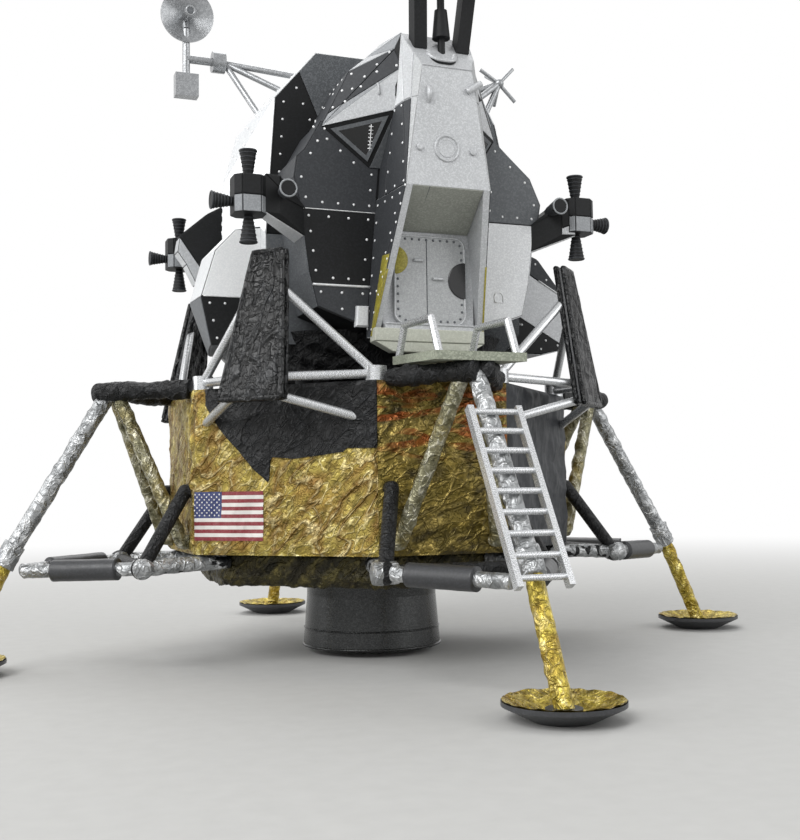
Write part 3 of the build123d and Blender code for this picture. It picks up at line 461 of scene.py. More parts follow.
def rivet_places(ring, normal, margin, pitch, proud):
    """Points along a ring drawn in by margin, at nearly even steps on each edge, with one at every corner."""
    line = inset(ring, normal, margin)
    spots = []
    for start, end in zip(line, np.roll(line, -1, 0)):
        steps = max(int(round(np.linalg.norm(end - start) / pitch)), 1)
        spots.append(start + np.arange(steps)[:, None] / steps * (end - start))
    spots = np.vstack(spots) + proud * normal
    apart = np.linalg.norm(spots[:, None] - spots[None], axis=2) < 0.55 * pitch
    return spots[~np.triu(apart, 1).any(0)]


def ring_wire(middle, axis, radius, wire, around=24, thick=6):
    """A ring of round wire: middle + (radius + wire cos b) circle(a) + wire sin b axis."""
    axis = unit(axis)
    side = unit(np.cross(axis, (0.31, 0.52, 0.79)))
    other = np.cross(axis, side)
    a = np.linspace(0, 2 * np.pi, around, endpoint=False)[:, None, None]
    b = np.linspace(0, 2 * np.pi, thick, endpoint=False)[None, :, None]
    circle = np.cos(a) * side + np.sin(a) * other
    points = np.asarray(middle, float) + (radius + wire * np.cos(b)) * circle + wire * np.sin(b) * axis
    index = np.arange(around * thick).reshape(around, thick)
    down, right = np.roll(index, -1, 0), np.roll(index, -1, 1)
    faces = np.stack([index, down, np.roll(down, -1, 1), right], -1).reshape(-1, 4)
    return points.reshape(-1, 3), faces


def sheet_on(corners, normal, seed, height, longest):
    """Crumpled foil over a four-cornered face: the two-way blend of its corners, raised along the normal by
    0.02 + height (1 + folds)/2, which fades out within 0.4 mm of the edges, all 0.01 mm lower."""
    a, b, c, d = corners
    wide, tall = max(np.linalg.norm(b - a), np.linalg.norm(c - d)), max(np.linalg.norm(d - a), np.linalg.norm(c - b))
    across, along = (max(int(size / 0.3), 4) for size in (wide, tall))
    u, v = np.meshgrid(np.linspace(0, 1, across), np.linspace(0, 1, along), indexing="ij")
    blend = ((1 - u) * (1 - v))[..., None] * a + (u * (1 - v))[..., None] * b
    blend = blend + (u * v)[..., None] * c + ((1 - u) * v)[..., None] * d
    run, rise = u * wide, v * tall
    edge = np.minimum.reduce([run, wide - run, rise, tall - rise]) / 0.4
    stand = 0.02 + height * np.clip((1 + folds(run, rise, seed, 12, longest, 0.9)) / 2, 0, 1)
    return blend + (stand * np.clip(edge, 0, 1) - 0.01)[..., None] * normal, grid_faces(across, along)[:, ::-1]


def disc(middle, axis, radius, tall, start=0.0, end=360.0, count=24):
    """A raised part of a disc between two angles, counted from level towards up as seen along the axis: a fan
    of points on its arc, one rim row and one top row, closed on both faces."""
    axis, middle = np.asarray(axis, float), np.asarray(middle, float)
    level = np.cross(UPWARD, axis)
    level = np.array((1.0, 0, 0)) if np.linalg.norm(level) < 0.1 else unit(level)
    turn = np.radians(np.linspace(start, end, count, endpoint=end - start < 359))[:, None]
    circle = np.cos(turn) * level + np.sin(turn) * np.cross(axis, level)
    arc = middle + radius * circle
    return capped([arc - 0.02 * axis, arc + (tall - 0.05) * axis, middle + (radius - 0.08) * circle + tall * axis])


# finishes

def add(tree, kind, inputs=(), **settings):
    """Adds one node and hands over its outputs: settings are its properties, inputs its values or the outputs that
    feed them; stops are the (place, hex colour) pairs of a ramp."""
    fresh = tree.nodes.new("ShaderNode" + kind)
    for name, value in settings.items():
        if name == "stops":
            while len(fresh.color_ramp.elements) < len(value):
                fresh.color_ramp.elements.new(1.0)
            for stop, (place, code) in zip(fresh.color_ramp.elements, value):
                stop.position = place
                stop.color = linear(code)
        else:
            setattr(fresh, name, value)
    for key, value in dict(inputs).items():
        if isinstance(value, bpy.types.NodeSocket):
            tree.links.new(value, fresh.inputs[key])
        else:
            fresh.inputs[key].default_value = value
    return fresh.outputs


def blank(name):
    """A new material with its tree cleared, and its Object coordinates in mm."""
    material = bpy.data.materials.new(name)
    material.use_nodes = True
    tree = material.node_tree
    tree.nodes.clear()
    where = add(tree, "TexCoord")["Object"]
    return material, tree, add(tree, "Mapping", {"Vector": where, "Scale": (1000, 1000, 1000)})[0]


def ridges(tree, where, scale, narrow, seed):
    """Long wandering ridge lines: 1 where a smooth noise passes its middle value, falling to 0 at narrow from it."""
    moved = add(tree, "Mapping", {"Vector": where, "Location": (seed, 2 * seed, 3 * seed)})[0]
    noise = add(tree, "TexNoise", {"Vector": moved, "Scale": scale, "Detail": 1.5, "Distortion": 0.5})["Fac"]
    off = add(tree, "Math", {0: noise, 1: 0.5}, operation="SUBTRACT")[0]
    off = add(tree, "Math", {0: off}, operation="ABSOLUTE")[0]
    return add(tree, "MapRange", {"Value": off, "From Max": narrow, "To Min": 1.0, "To Max": 0.0},
               interpolation_type="SMOOTHSTEP")[0]


def crumpled_foil(name, stops, rough=0.3, metal=0.6, crease=1.4, depth=0.07, stain=None, band=None, painted_light=1.0,
                  line="#FFF8DC", lie=(0.5, -0.5, 0.7), long=2.2, ridge_shade=None, sheen=0.5):
    """Thin kitchen foil pressed over a model and painted: sharp ridges that mostly run one way, with a painted
    highlight on them and painted shade in the hollows. crease is the mean step from ridge to ridge in mm, depth
    their bump in mm, line the colour of the painted highlight on them, lie the way they run and long how much longer
    than wide their pattern is. stain is (hex, amount) of slow blots, band is (low, high, hex) in mm of height for
    wavy streaks that run level, painted_light is how strongly the ridges are painted light and the hollows painted
    dark, ridge_shade the colour of the painted shade beside the large ridges, sheen the strength of the clear
    reflection where it is not metal."""
    material, tree, mm = blank(name)
    turn = Vector(lie).rotation_difference(Vector((1, 0, 0))).to_euler()
    turned = add(tree, "Mapping", {"Vector": mm, "Rotation": turn})[0]
    drawn = add(tree, "Mapping", {"Vector": turned, "Scale": (1 / long, 1, 1)})[0]
    large = ridges(tree, drawn, 0.32 / crease, 0.035, 3.0)
    middle = ridges(tree, drawn, 0.7 / crease, 0.05, 17.0)
    small = ridges(tree, turned, 1.4 / crease, 0.08, 31.0)
    slow = add(tree, "TexNoise", {"Vector": turned, "Scale": 0.22, "Detail": 4.0, "Roughness": 0.6})["Fac"]
    tone = add(tree, "TexNoise", {"Vector": drawn, "Scale": 0.9 / crease, "Detail": 4.0, "Roughness": 0.65})["Fac"]
    high = add(tree, "Math", {0: middle, 1: 0.7, 2: large}, operation="MULTIPLY_ADD")[0]
    high = add(tree, "Math", {0: small, 1: 0.5, 2: high}, operation="MULTIPLY_ADD")[0]
    high = add(tree, "Math", {0: tone, 1: high}, operation="ADD")[0]
    # painted light from the mesh's shape: a painted highlight on its own ridges and painted shade in its hollows
    cavity_light = add(tree, "MapRange", {"Value": add(tree, "NewGeometry")["Pointiness"], "From Min": 0.45, "From Max": 0.55,
                                  "To Min": -0.3 * painted_light, "To Max": 0.3 * painted_light})[0]
    shade = add(tree, "MapRange", {"Value": tone, "From Min": 0.3, "From Max": 0.7, "To Min": 0.15, "To Max": 0.8})[0]
    shade = add(tree, "Math", {0: shade, 1: cavity_light}, operation="ADD", use_clamp=True)[0]
    colour = add(tree, "ValToRGB", {"Fac": shade}, stops=stops)["Color"]
    if stain:
        code, most = stain
        spot = add(tree, "MapRange", {"Value": slow, "From Min": 0.5, "From Max": 0.68, "To Max": most})[0]
        colour = add(tree, "Mix", {0: spot, 6: colour, 7: linear(code)}, data_type="RGBA")[2]
    if band:
        low, top, code = band
        flat = add(tree, "Mapping", {"Vector": mm, "Rotation": (0, 0.25, 0), "Scale": (0.13, 0.13, 0.5)})[0]
        wavy = add(tree, "TexNoise", {"Vector": flat, "Scale": 1.0, "Detail": 2.0, "Distortion": 1.2})["Fac"]
        streak = add(tree, "MapRange", {"Value": wavy, "From Min": 0.5, "From Max": 0.58, "To Max": 0.85})[0]
        tall = add(tree, "SeparateXYZ", {"Vector": mm})["Z"]
        rise = add(tree, "MapRange", {"Value": tall, "From Min": low - 2, "From Max": low + 1})[0]
        fall = add(tree, "MapRange", {"Value": tall, "From Min": top - 1, "From Max": top + 1, "To Min": 1.0,
                                      "To Max": 0.0})[0]
        where = add(tree, "Math", {0: rise, 1: fall}, operation="MULTIPLY")[0]
        amount = add(tree, "Math", {0: where, 1: streak}, operation="MULTIPLY")[0]
        colour = add(tree, "Mix", {0: amount, 6: colour, 7: linear(code)}, data_type="RGBA")[2]
    # painted shade: a darker colour laid beside the large ridges
    if ridge_shade:
        beside = ridges(tree, drawn, 0.32 / crease, 0.11, 3.0)
        beside = add(tree, "Math", {0: beside, 1: 0.75}, operation="MULTIPLY")[0]
        colour = add(tree, "Mix", {0: beside, 6: colour, 7: linear(ridge_shade)}, data_type="RGBA")[2]
    # painted highlight: the line colour laid along the ridges, in patches set by the tone
    ridge_highlight = add(tree, "Math", {0: middle, 1: large}, operation="MAXIMUM")[0]
    patchy = add(tree, "MapRange", {"Value": tone, "From Min": 0.42, "From Max": 0.6, "To Max": 0.6 * painted_light})[0]
    ridge_highlight = add(tree, "Math", {0: ridge_highlight, 1: patchy}, operation="MULTIPLY")[0]
    colour = add(tree, "Mix", {0: ridge_highlight, 6: colour, 7: linear(line)}, data_type="RGBA")[2]
    bump = add(tree, "Bump", {"Height": high, "Strength": 1.0, "Distance": depth * MM})[0]
    gloss = add(tree, "MapRange", {"Value": tone, "To Min": rough + 0.15, "To Max": rough})[0]
    foil = add(tree, "BsdfPrincipled", {"Base Color": colour, "Metallic": metal, "Roughness": gloss,
                                        "Specular IOR Level": sheen, "Normal": bump})[0]
    add(tree, "OutputMaterial", {"Surface": foil})
    return material


def sprayed_paint(name, base, fleck=None, rough=0.45, metal=0.0, grain=0.2, cloud=0.1, sheen=0.5):
    """Enamel sprayed on moulded styrene: a fine pebble from the spray, slow clouding and a little dirt; with fleck,
    aluminium flakes lie in it as lighter specks. base is linear, fleck a hex code. grain is in mm, coarser than real
    so that it shows; sheen is the strength of its clear reflection, low on matt dark paint."""
    material, tree, mm = blank(name)
    slow = add(tree, "TexNoise", {"Vector": mm, "Scale": 0.12, "Detail": 3.0})["Fac"]
    cloudy = add(tree, "MapRange", {"Value": slow, "From Min": 0.35, "From Max": 0.7, "To Max": cloud})[0]
    colour = add(tree, "Mix", {0: cloudy, 6: base, 7: linear(DIRT)}, data_type="RGBA")[2]
    pebble = add(tree, "TexNoise", {"Vector": mm, "Scale": 1 / grain, "Detail": 2.0})["Fac"]
    if fleck:
        speck = add(tree, "TexVoronoi", {"Vector": mm, "Scale": 1 / grain}, feature="F1")["Color"]
        lone = add(tree, "SeparateColor", {"Color": speck})[0]
        light = add(tree, "MapRange", {"Value": lone, "From Min": 0.35, "From Max": 1.0, "To Max": 0.8})[0]
        colour = add(tree, "Mix", {0: light, 6: colour, 7: linear(fleck)}, data_type="RGBA")[2]
    bump = add(tree, "Bump", {"Height": pebble, "Strength": 0.6, "Distance": PEBBLE_DEPTH * MM})[0]
    gloss = add(tree, "MapRange", {"Value": pebble, "To Min": rough - 0.08, "To Max": rough + 0.1})[0]
    paint = add(tree, "BsdfPrincipled", {"Base Color": colour, "Metallic": metal, "Roughness": gloss,
                                         "Specular IOR Level": sheen, "Normal": bump})[0]
    add(tree, "OutputMaterial", {"Surface": paint})
    return material


def striped_flag(name):
    """Printed paper flag: level stripes from the UV's v, a canton over the first part of u and the upper stripes,
    all slightly faded, with the paper's tooth in its bump."""
    material, tree, mm = blank(name)
    place = add(tree, "SeparateXYZ", {"Vector": add(tree, "TexCoord")["UV"]})
    rows = add(tree, "Math", {0: place["Y"], 1: FLAG_STRIPES}, operation="MULTIPLY")[0]
    whole = add(tree, "Math", {0: rows}, operation="FLOOR")[0]
    odd = add(tree, "Math", {0: whole, 1: 2.0}, operation="FLOORED_MODULO")[0]
    colour = add(tree, "Mix", {0: odd, 6: linear("#7A1C28"), 7: linear("#D6D3CE")}, data_type="RGBA")[2]
    left = add(tree, "Math", {0: place["X"], 1: CANTON_WIDE}, operation="LESS_THAN")[0]
    upper = add(tree, "Math", {0: place["Y"], 1: 1 - CANTON_STRIPES / FLAG_STRIPES}, operation="GREATER_THAN")[0]
    canton = add(tree, "Math", {0: left, 1: upper}, operation="MULTIPLY")[0]
    colour = add(tree, "Mix", {0: canton, 6: colour, 7: linear("#182A60")}, data_type="RGBA")[2]
    tooth = add(tree, "TexNoise", {"Vector": mm, "Scale": 3.0, "Detail": 3.0})["Fac"]
    fade = add(tree, "MapRange", {"Value": tooth, "From Min": 0.35, "From Max": 0.75, "To Max": 0.12})[0]
    colour = add(tree, "Mix", {0: fade, 6: colour, 7: linear("#B9B1A6")}, data_type="RGBA")[2]
    bump = add(tree, "Bump", {"Height": tooth, "Strength": 0.5, "Distance": 0.02 * MM})[0]
    paper = add(tree, "BsdfPrincipled", {"Base Color": colour, "Roughness": 0.6, "Normal": bump})[0]
    add(tree, "OutputMaterial", {"Surface": paper})
    return material


# foils: colours from the painted shade of the hollows to the painted highlight of the ridges, then what crumpled_foil
# takes
ROUND = dict(lie=(0.3, 0.5, 1.0), long=1.2)
FOILS = {
    # foil glazed with clear yellow: warm gold, with brown painted shade in the hollows and beside the large ridges
    "gold_foil": (((0.0, "#3C3410"), (0.3, "#76672E"), (0.55, "#9A8840"), (0.8, "#BBA854"), (1.0, "#F2E6A8")),
                  dict(rough=0.36, metal=0.5, crease=1.1, depth=0.2, stain=("#94702A", 0.6), ridge_shade="#6E4E14",
                       line="#FBEDB4", painted_light=0.8)),
    # the same glaze with orange and black: darker, with rust-red streaks below the deck
    "amber_foil": (((0.0, "#221C0C"), (0.3, "#4A401E"), (0.55, "#706128"), (0.8, "#A08A42"), (1.0, "#DEC97E")),
                   dict(crease=1.5, depth=0.24, stain=("#6A5C20", 0.7), band=(29.5, 37.4, "#84400E"), line="#E2C878",
                        painted_light=0.6, lie=(0.9, 0.0, 0.4))),
    # foil glazed dark: olive, with painted shade nearly black in the hollows
    "olive_foil": (((0.0, "#0E0D08"), (0.4, "#262312"), (0.75, "#464020"), (1.0, "#8A7E48")),
                   dict(rough=0.4, metal=0.5, crease=1.2, depth=0.12, stain=("#241E0C", 0.7), line="#8E8248",
                        painted_light=0.4)),
    # foil glazed yellow and left shiny: bright gold
    "pad_foil": (((0.0, "#322A0C"), (0.4, "#8C7A2C"), (0.7, "#C4B04C"), (1.0, "#F6ECAC")),
                 dict(crease=1.1, depth=0.18, stain=("#8A621A", 0.5), line="#F4E0A0", painted_light=0.7, **ROUND)),
    # silver foil with a thin yellow wash
    "brace_foil": (((0.0, "#2E2C1E"), (0.4, "#68654C"), (0.7, "#8E8A70"), (1.0, "#DEDBC8")),
                   dict(crease=1.3, depth=0.12, stain=("#8C7A38", 0.6), line="#F4F2E4", painted_light=0.6, **ROUND)),
    # bare foil: grey, with a painted highlight on its ridges
    "silver_foil": (((0.0, "#4C4D4E"), (0.35, "#858788"), (0.7, "#A4A6A7"), (1.0, "#DCDDDE")),
                    dict(metal=0.7, crease=1.6, depth=0.13, line="#EDEEEE", painted_light=0.7, **ROUND)),
    # foil painted matt black: a soft sheen and a painted highlight on its folds
    "black_foil": (((0.0, "#060607"), (0.5, "#0E0F10"), (1.0, "#202123")),
                   dict(rough=0.4, metal=0.0, crease=1.0, depth=0.12, line="#3A3C3F", painted_light=0.3, sheen=0.3)),
    # the same paint pressed into upright folds
    "deflector_foil": (((0.0, "#030304"), (0.5, "#08090A"), (1.0, "#18191B")),
                       dict(rough=0.28, metal=0.0, crease=1.5, depth=0.22, line="#4A4C4F", painted_light=0.5, sheen=0.4,
                            lie=(0.1, 0.0, 1.0), long=2.6)),
}

# enamels sprayed on styrene: colour, fleck, then what sprayed_paint takes
DIRT, PEBBLE_DEPTH = "#3A3A38", 0.01
PAINTS = {
    # metal enamels: aluminium flakes that glint and make the grey uneven from close by
    # the bells: gunmetal paint made darker than it is, as painted shade for the shade and dark reflections under the
    # stages
    "bell_gunmetal_and_shade": ("#303131", "#464747", dict(rough=0.26, metal=0.75, grain=0.15)),
    "silver": ("#B0B2B4", "#C6C8CA", dict(metal=0.25, grain=0.15)),
    "light_silver": ("#CDCFD1", "#DFE1E2", dict(rough=0.42, metal=0.15, grain=0.15)),
    "white_silver": ("#ECEEEF", "#F8F9F9", dict(rough=0.42, grain=0.15, cloud=0.03)),
    "rail_silver": ("#C2C4C6", "#D8D9DA", dict(rough=0.26, metal=0.7, grain=0.12)),
    "tube_silver": ("#8E9092", "#A8AAAC", dict(rough=0.26, metal=0.6)),
    "hatch_silver": ("#9A9C9D", "#AEB0B1", dict(metal=0.2, grain=0.15)),
    "bead_silver": ("#E0E2E3", "#F4F4F4", dict(rough=0.35, metal=0.2, grain=0.3)),
    "rivet_silver": ("#ECEDEE", "#F8F8F8", dict(rough=0.4)),
    # matt enamels: even and dull, with hardly a reflection on the dark ones
    "dark_grey": ("#333538", "#3D3F42", dict(rough=0.55, sheen=0.25)),
    "mid_grey": ("#5E6164", "#6E7174", dict(rough=0.55, sheen=0.25)),
    "pale_grey": ("#85888B", "#96999C", dict(rough=0.5, grain=0.16)),
    "grainy_grey": ("#4F5255", "#6C6F72", dict(rough=0.6, grain=0.16, sheen=0.3)),
    "near_black": ("#141516", "#1E1F21", dict(rough=0.55, sheen=0.2)),
    "apron_paint": ("#B2B4A8", "#C0C2B6", dict(rough=0.55, grain=0.18)),
    "porch_paint": ("#84897A", "#A9AE9C", dict(rough=0.6, grain=0.18, cloud=0.25)),
    "ceiling_paint": ("#8C8E86", "#9C9E96", dict(rough=0.55, grain=0.18, cloud=0.2)),
    "yellow_paint": ("#8F8526", "#A89E3C", dict(rough=0.5, cloud=0.3)),
    "star_white": ("#DDDCD8", None, dict(rough=0.6)),
    # satin and gloss enamels: a clear highlight on black
    "satin_black": ("#313234", "#3E3F42", dict(rough=0.36)),
    "glass_black": ("#0D0D0F", "#17181A", dict(rough=0.22)),
}
FINISH = {}


def make_finishes(chosen):
    """Every finish once, by the name that the tables use; chosen has the linear colours of some paints by name."""
    for name, (stops, settings) in FOILS.items():
        FINISH[name] = crumpled_foil(name, stops, **settings)
    for name, (code, fleck, settings) in PAINTS.items():
        base = (*chosen[name], 1.0) if name in chosen else linear(code)
        FINISH[name] = sprayed_paint(name, base, fleck, **settings)
    FINISH["flag"] = striped_flag("flag_paper")


# the finish of each carried-over node, by the start of its name
NODE_FINISH = (
    ("descent_body", "black_foil"), ("base_pan", "olive_foil"), ("descent_engine_bell", "bell_gunmetal_and_shade"),
    ("footpad", "satin_black"), ("strut_rod", "pad_foil"), ("strut_cylinder", "silver_foil"),
    ("outrigger", "black_foil"), ("brace_frame", "brace_foil"), ("deployment_truss", "black_foil"),
    ("secondary_struts", "silver_foil"), ("ladder", "rail_silver"), ("porch_rails", "rail_silver"),
    ("porch", "porch_paint"), ("plume_deflector", "satin_black"), ("deflector_struts", "rail_silver"),
    ("mid_section", "near_black"), ("stage_pegs", "near_black"), ("docking_tunnel", "dark_grey"),
    ("ascent_engine_bell", "bell_gunmetal_and_shade"), ("crew_cabin", "near_black"), ("front_column", "silver"),
    ("front_hatch", "hatch_silver"), ("window", "glass_black"), ("tank_bay", "near_black"), ("aft_bay", "near_black"),
    ("thruster_quad", "near_black"), ("antenna_boom", "tube_silver"), ("dish_antenna", "tube_silver"),
    ("star_aerial", "tube_silver"), ("radar_fork", "near_black"), ("rendezvous_radar", "light_silver"),
)

# panels: node, the box that a facet's middle lies in (low and high corner, mm), finish, riveted or not;
# the first row that fits is taken, and a facet that fits none stays bare
ANY = 999
PANELS = (
    ("crew_cabin", (-ANY, -23, -ANY), (ANY, -13, 46.1), "near_black", False),
    ("crew_cabin", (-ANY, -19, 46), (-10, -13, 49), "near_black", False),
    ("crew_cabin", (10, -19, 46), (ANY, -13, 49), "silver", False),
    ("crew_cabin", (-ANY, -19, 49), (-10, -13, 60), "grainy_grey", False),
    ("crew_cabin", (-ANY, -19, 60), (-10, -13, 74), "dark_grey", False),
    ("crew_cabin", (10, -19, 49), (ANY, -13, 60.9), "silver", False),
    ("crew_cabin", (10, -19, 60.9), (ANY, -13, 74), "mid_grey", False),
    ("crew_cabin", (-14, -23, 74), (-11, -13, 76), "dark_grey", False),
    ("crew_cabin", (-13, -17, 76), (-9, -13, 84), "dark_grey", True),
    ("crew_cabin", (-9, -28, 79), (-2, -13, 89), "pale_grey", False),
    ("crew_cabin", (6, -27, 74.9), (15, -13, 79.4), "silver", False),
    ("crew_cabin", (2, -28, 79), (15, -13, 89), "silver", False),
    ("front_column", (-7.6, -27.2, 49), (-5.8, -23, 61), "dark_grey", True),
    ("front_column", (-6.1, -29, 66), (-5.5, -23, 71), "dark_grey", False),
    ("front_column", (5.8, -27.2, 49), (7.6, -23, 61), "dark_grey", True),
    ("front_column", (5.5, -29, 66), (6.1, -23, 71), "dark_grey", False),
    ("front_column", (-2, -29, 60), (2, -27, 62), "ceiling_paint", False),
    ("mid_section", (-ANY, -11, 64), (0, -9, 74), "white_silver", False),
    ("mid_section", (-17, -11, 80), (0, -9, 84), "light_silver", True),
    ("mid_section", (-ANY, -13.5, 64), (0, 12.5, 90), "light_silver", True),
    ("mid_section", (-ANY, -12.5, 45), (0, 12.5, 64), "light_silver", False),
    ("mid_section", (0, -12.5, 72), (ANY, 12.5, 90), "light_silver", True),
    ("mid_section", (0, -12.5, 45), (ANY, 12.5, 72), "dark_grey", True),
    ("aft_bay", (-ANY, 12, 60), (ANY, 30, 90), "dark_grey", True),
    ("aft_bay", (-ANY, 12, 40), (ANY, 30, 60), "silver", True),
)
# the cabin's front: side of the column, lower and upper seam, finish, riveted or not
CABIN_ROWS = (
    (-1, UPPER_SEAM_Z, ANY, "dark_grey", True), (-1, LOWER_SEAM_Z, UPPER_SEAM_Z, "near_black", True),
    (-1, 0, LOWER_SEAM_Z, "dark_grey", True), (1, UPPER_SEAM_Z, ANY, "mid_grey", True),
    (1, 0, UPPER_SEAM_Z, "light_silver", False),
)
# the column's and the window's facets: corners, finish below the brow's line and above it, riveted below or not
SPLIT_FACETS = ((COLUMN_FLANK, "dark_grey", "light_silver", True), (COLUMN_CHAMFER, "dark_grey", "silver", False),
                (COLUMN_BEVEL, "hatch_silver", "hatch_silver", False), (WINDOW_FACET, "mid_grey", "mid_grey", False))

# foil pieces of a leg: name, finish, slot, and the node that each takes the place of
LEG_PIECES = (
    ("strut_foil", "silver_foil", "silver_foil", "strut_cylinder"),
    ("rod_foil", "pad_foil", "gold_foil_pad", "strut_rod"), ("arm_foil", "silver_foil", "silver_foil", None),
    ("brace_foil", "brace_foil", "gold_silver_foil", "brace_frame"),
    ("outrigger_foil", "black_foil", "black_foil", "outrigger"),
    ("side_strut_foil", "silver_foil", "silver_foil", "secondary_struts"),
    ("side_sleeves", "satin_black", "black_paint", None), ("truss_knuckles", "silver_foil", "silver_foil", None),
)


# what a user may change

class LanderSizes(bpy.types.PropertyGroup):
    """Sizes of the small pieces that a user may change"""
    foil_height: FloatProperty(name="Foil height", description="How far the crumpled foil stands off the lower stage",
                               default=0.0006, min=0.0, max=0.0015, unit="LENGTH", precision=6)
    plate_proud: FloatProperty(name="Plate thickness", description="How far a panel stands off the upper stage",
                               default=0.00012, min=0.00005, max=0.0004, unit="LENGTH", precision=6)
    seam_gap: FloatProperty(name="Seam gap", description="Half the dark gap between two panels",
                            default=0.00007, min=0.0, max=0.0003, unit="LENGTH", precision=6)
    rivet_radius: FloatProperty(name="Rivet radius", description="Radius of the rivet heads along the panels",
                                default=0.00019, min=0.0001, max=0.0004, unit="LENGTH", precision=6)
    rivet_pitch: FloatProperty(name="Rivet pitch", description="Distance from one rivet to the next",
                               default=0.0025, min=0.001, max=0.006, unit="LENGTH", precision=6)
    strut_crease: FloatProperty(name="Strut creases", description="Depth of the creases in the foil round the struts",
                                default=0.0004, min=0.0, max=0.0008, unit="LENGTH", precision=6)


class LanderColours(bpy.types.PropertyGroup):
    """Colours of the paints that a user may change, each named as its row of PAINTS"""
    silver: FloatVectorProperty(name="Silver", description="Paint of the column and the lower aft bay",
                                default=linear(PAINTS["silver"][0])[:3], min=0.0, max=1.0, subtype="COLOR")
    dark_grey: FloatVectorProperty(name="Dark grey", description="Paint of the dark riveted panels",
                                   default=linear(PAINTS["dark_grey"][0])[:3], min=0.0, max=1.0, subtype="COLOR")
    white_silver: FloatVectorProperty(name="White", description="Paint of the left tank bay's bright facets",
                                      default=linear(PAINTS["white_silver"][0])[:3], min=0.0, max=1.0, subtype="COLOR")
    yellow_paint: FloatVectorProperty(name="Yellow", description="Paint of the marks in the alcove",
                                      default=linear(PAINTS["yellow_paint"][0])[:3], min=0.0, max=1.0, subtype="COLOR")


# the operators

def lay_floor(scene):
    """A round sheet of card under the model: rings of points at a few distances, closed in the middle by one face."""
    turn = np.linspace(0, 2 * np.pi, FLOOR_SIDES, endpoint=False)
    reach = np.array(FLOOR_RINGS)[:, None]
    points = np.stack([reach * np.cos(turn), reach * np.sin(turn), 0 * reach * turn], -1).reshape(-1, 3)
    faces = grid_faces(len(FLOOR_RINGS), FLOOR_SIDES, True).tolist() + [list(range(FLOOR_SIDES))]
    mesh = bpy.data.meshes.new("floor")
    mesh.from_pydata(points.tolist(), [], faces)
    # matt grey card, faintly mottled; away from the model it goes over into the white world
    material, tree, mm = blank("floor_paper")
    grain = add(tree, "TexNoise", {"Vector": mm, "Scale": 0.4, "Detail": 4.0})["Fac"]
    colour = add(tree, "Mix", {0: grain, 6: linear("#B4B4B2"), 7: linear("#BEBEBC")}, data_type="RGBA")[2]
    paper = add(tree, "BsdfPrincipled", {"Base Color": colour, "Roughness": 0.9})[0]
    far = add(tree, "VectorMath", {0: mm}, operation="LENGTH")["Value"]
    fade = add(tree, "MapRange", {"Value": far, "From Min": FADE_START, "From Max": FADE_END},
               interpolation_type="SMOOTHSTEP")[0]
    glow = add(tree, "Emission", {"Color": WHITE, "Strength": 1.0})[0]
    add(tree, "OutputMaterial", {"Surface": add(tree, "MixShader", {0: fade, 1: paper, 2: glow})[0]})
    mesh.materials.append(material)
    floor = bpy.data.objects.new("floor", mesh)
    scene.collection.objects.link(floor)


def light_world(scene):
    """A world that is full white to the camera, in reflections and through glass, and WORLD_LIGHT of that as a
    lamp: the largest of the three ray flags goes from the one strength to the other."""
    world = bpy.data.worlds.new("studio")
    scene.world = world
    world.use_nodes = True
    tree = world.node_tree
    tree.nodes.clear()
    path = add(tree, "LightPath")
    seen = add(tree, "Math", {0: path["Is Camera Ray"], 1: path["Is Glossy Ray"]}, operation="MAXIMUM")[0]
    seen = add(tree, "Math", {0: seen, 1: path["Is Transmission Ray"]}, operation="MAXIMUM")[0]
    power = add(tree, "MapRange", {"Value": seen, "To Min": WORLD_LIGHT, "To Max": 1.0})[0]
    sky = add(tree, "Background", {"Color": WHITE, "Strength": power})[0]
    add(tree, "OutputWorld", {"Surface": sky})


def hang_lamps(scene):
    """Square lamps that look at LIT_POINT."""
    for name, place, size, watts in LAMPS:
        lamp = bpy.data.lights.new(name, "AREA")
        lamp.size = size
        lamp.energy = watts
        thing = bpy.data.objects.new(name, lamp)
        toward = Vector(LIT_POINT) - Vector(place)
        thing.matrix_world = Matrix.LocRotScale(Vector(place), toward.to_track_quat("-Z", "Y"), None)
        scene.collection.objects.link(thing)


def set_camera(scene):
    """The camera at EYE: it looks along (sin yaw cos pitch, cos yaw cos pitch, sin pitch), and its right and up
    are turned about that by roll."""
    yaw, pitch, roll = np.radians((YAW, PITCH, ROLL))
    ahead = np.array([np.sin(yaw) * np.cos(pitch), np.cos(yaw) * np.cos(pitch), np.sin(pitch)])
    right = np.array([np.cos(yaw), -np.sin(yaw), 0])
    up = np.cross(right, ahead)
    right, up = np.cos(roll) * right + np.sin(roll) * up, np.cos(roll) * up - np.sin(roll) * right
    turned = np.eye(4)
    turned[:3, :3] = np.stack([right, up, -ahead], 1)
    turned[:3, 3] = EYE
    view = bpy.data.cameras.new("camera")
    view.lens, view.sensor_width, view.clip_start = LENS, SENSOR, NEAREST
    camera = bpy.data.objects.new("camera", view)
    camera.matrix_world = Matrix(turned.tolist())
    scene.collection.objects.link(camera)
    scene.camera = camera


class LANDER_OT_stage(bpy.types.Operator):
    """Floor, light and camera"""
    bl_idname = "lander.stage"
    bl_label = "Stage"

    def execute(self, context):
        context.scene.view_settings.view_transform = "Standard"
        lay_floor(context.scene)
        light_world(context.scene)
        hang_lamps(context.scene)
        set_camera(context.scene)
        return {"FINISHED"}


class LANDER_OT_finishes(bpy.types.Operator):
    """Makes the finishes and gives every carried-over node its own"""
    bl_idname = "lander.finishes"
    bl_label = "Finishes"

    def execute(self, context):
        colours = context.scene.lander_colours
        make_finishes({name: tuple(getattr(colours, name)) for name in LanderColours.__annotations__})
        for name, node in NODES.items():
            finish = next(f for start, f in NODE_FINISH if name.startswith(start))
            for slot in node.material_slots:
                slot.material = FINISH[finish]
        return {"FINISHED"}


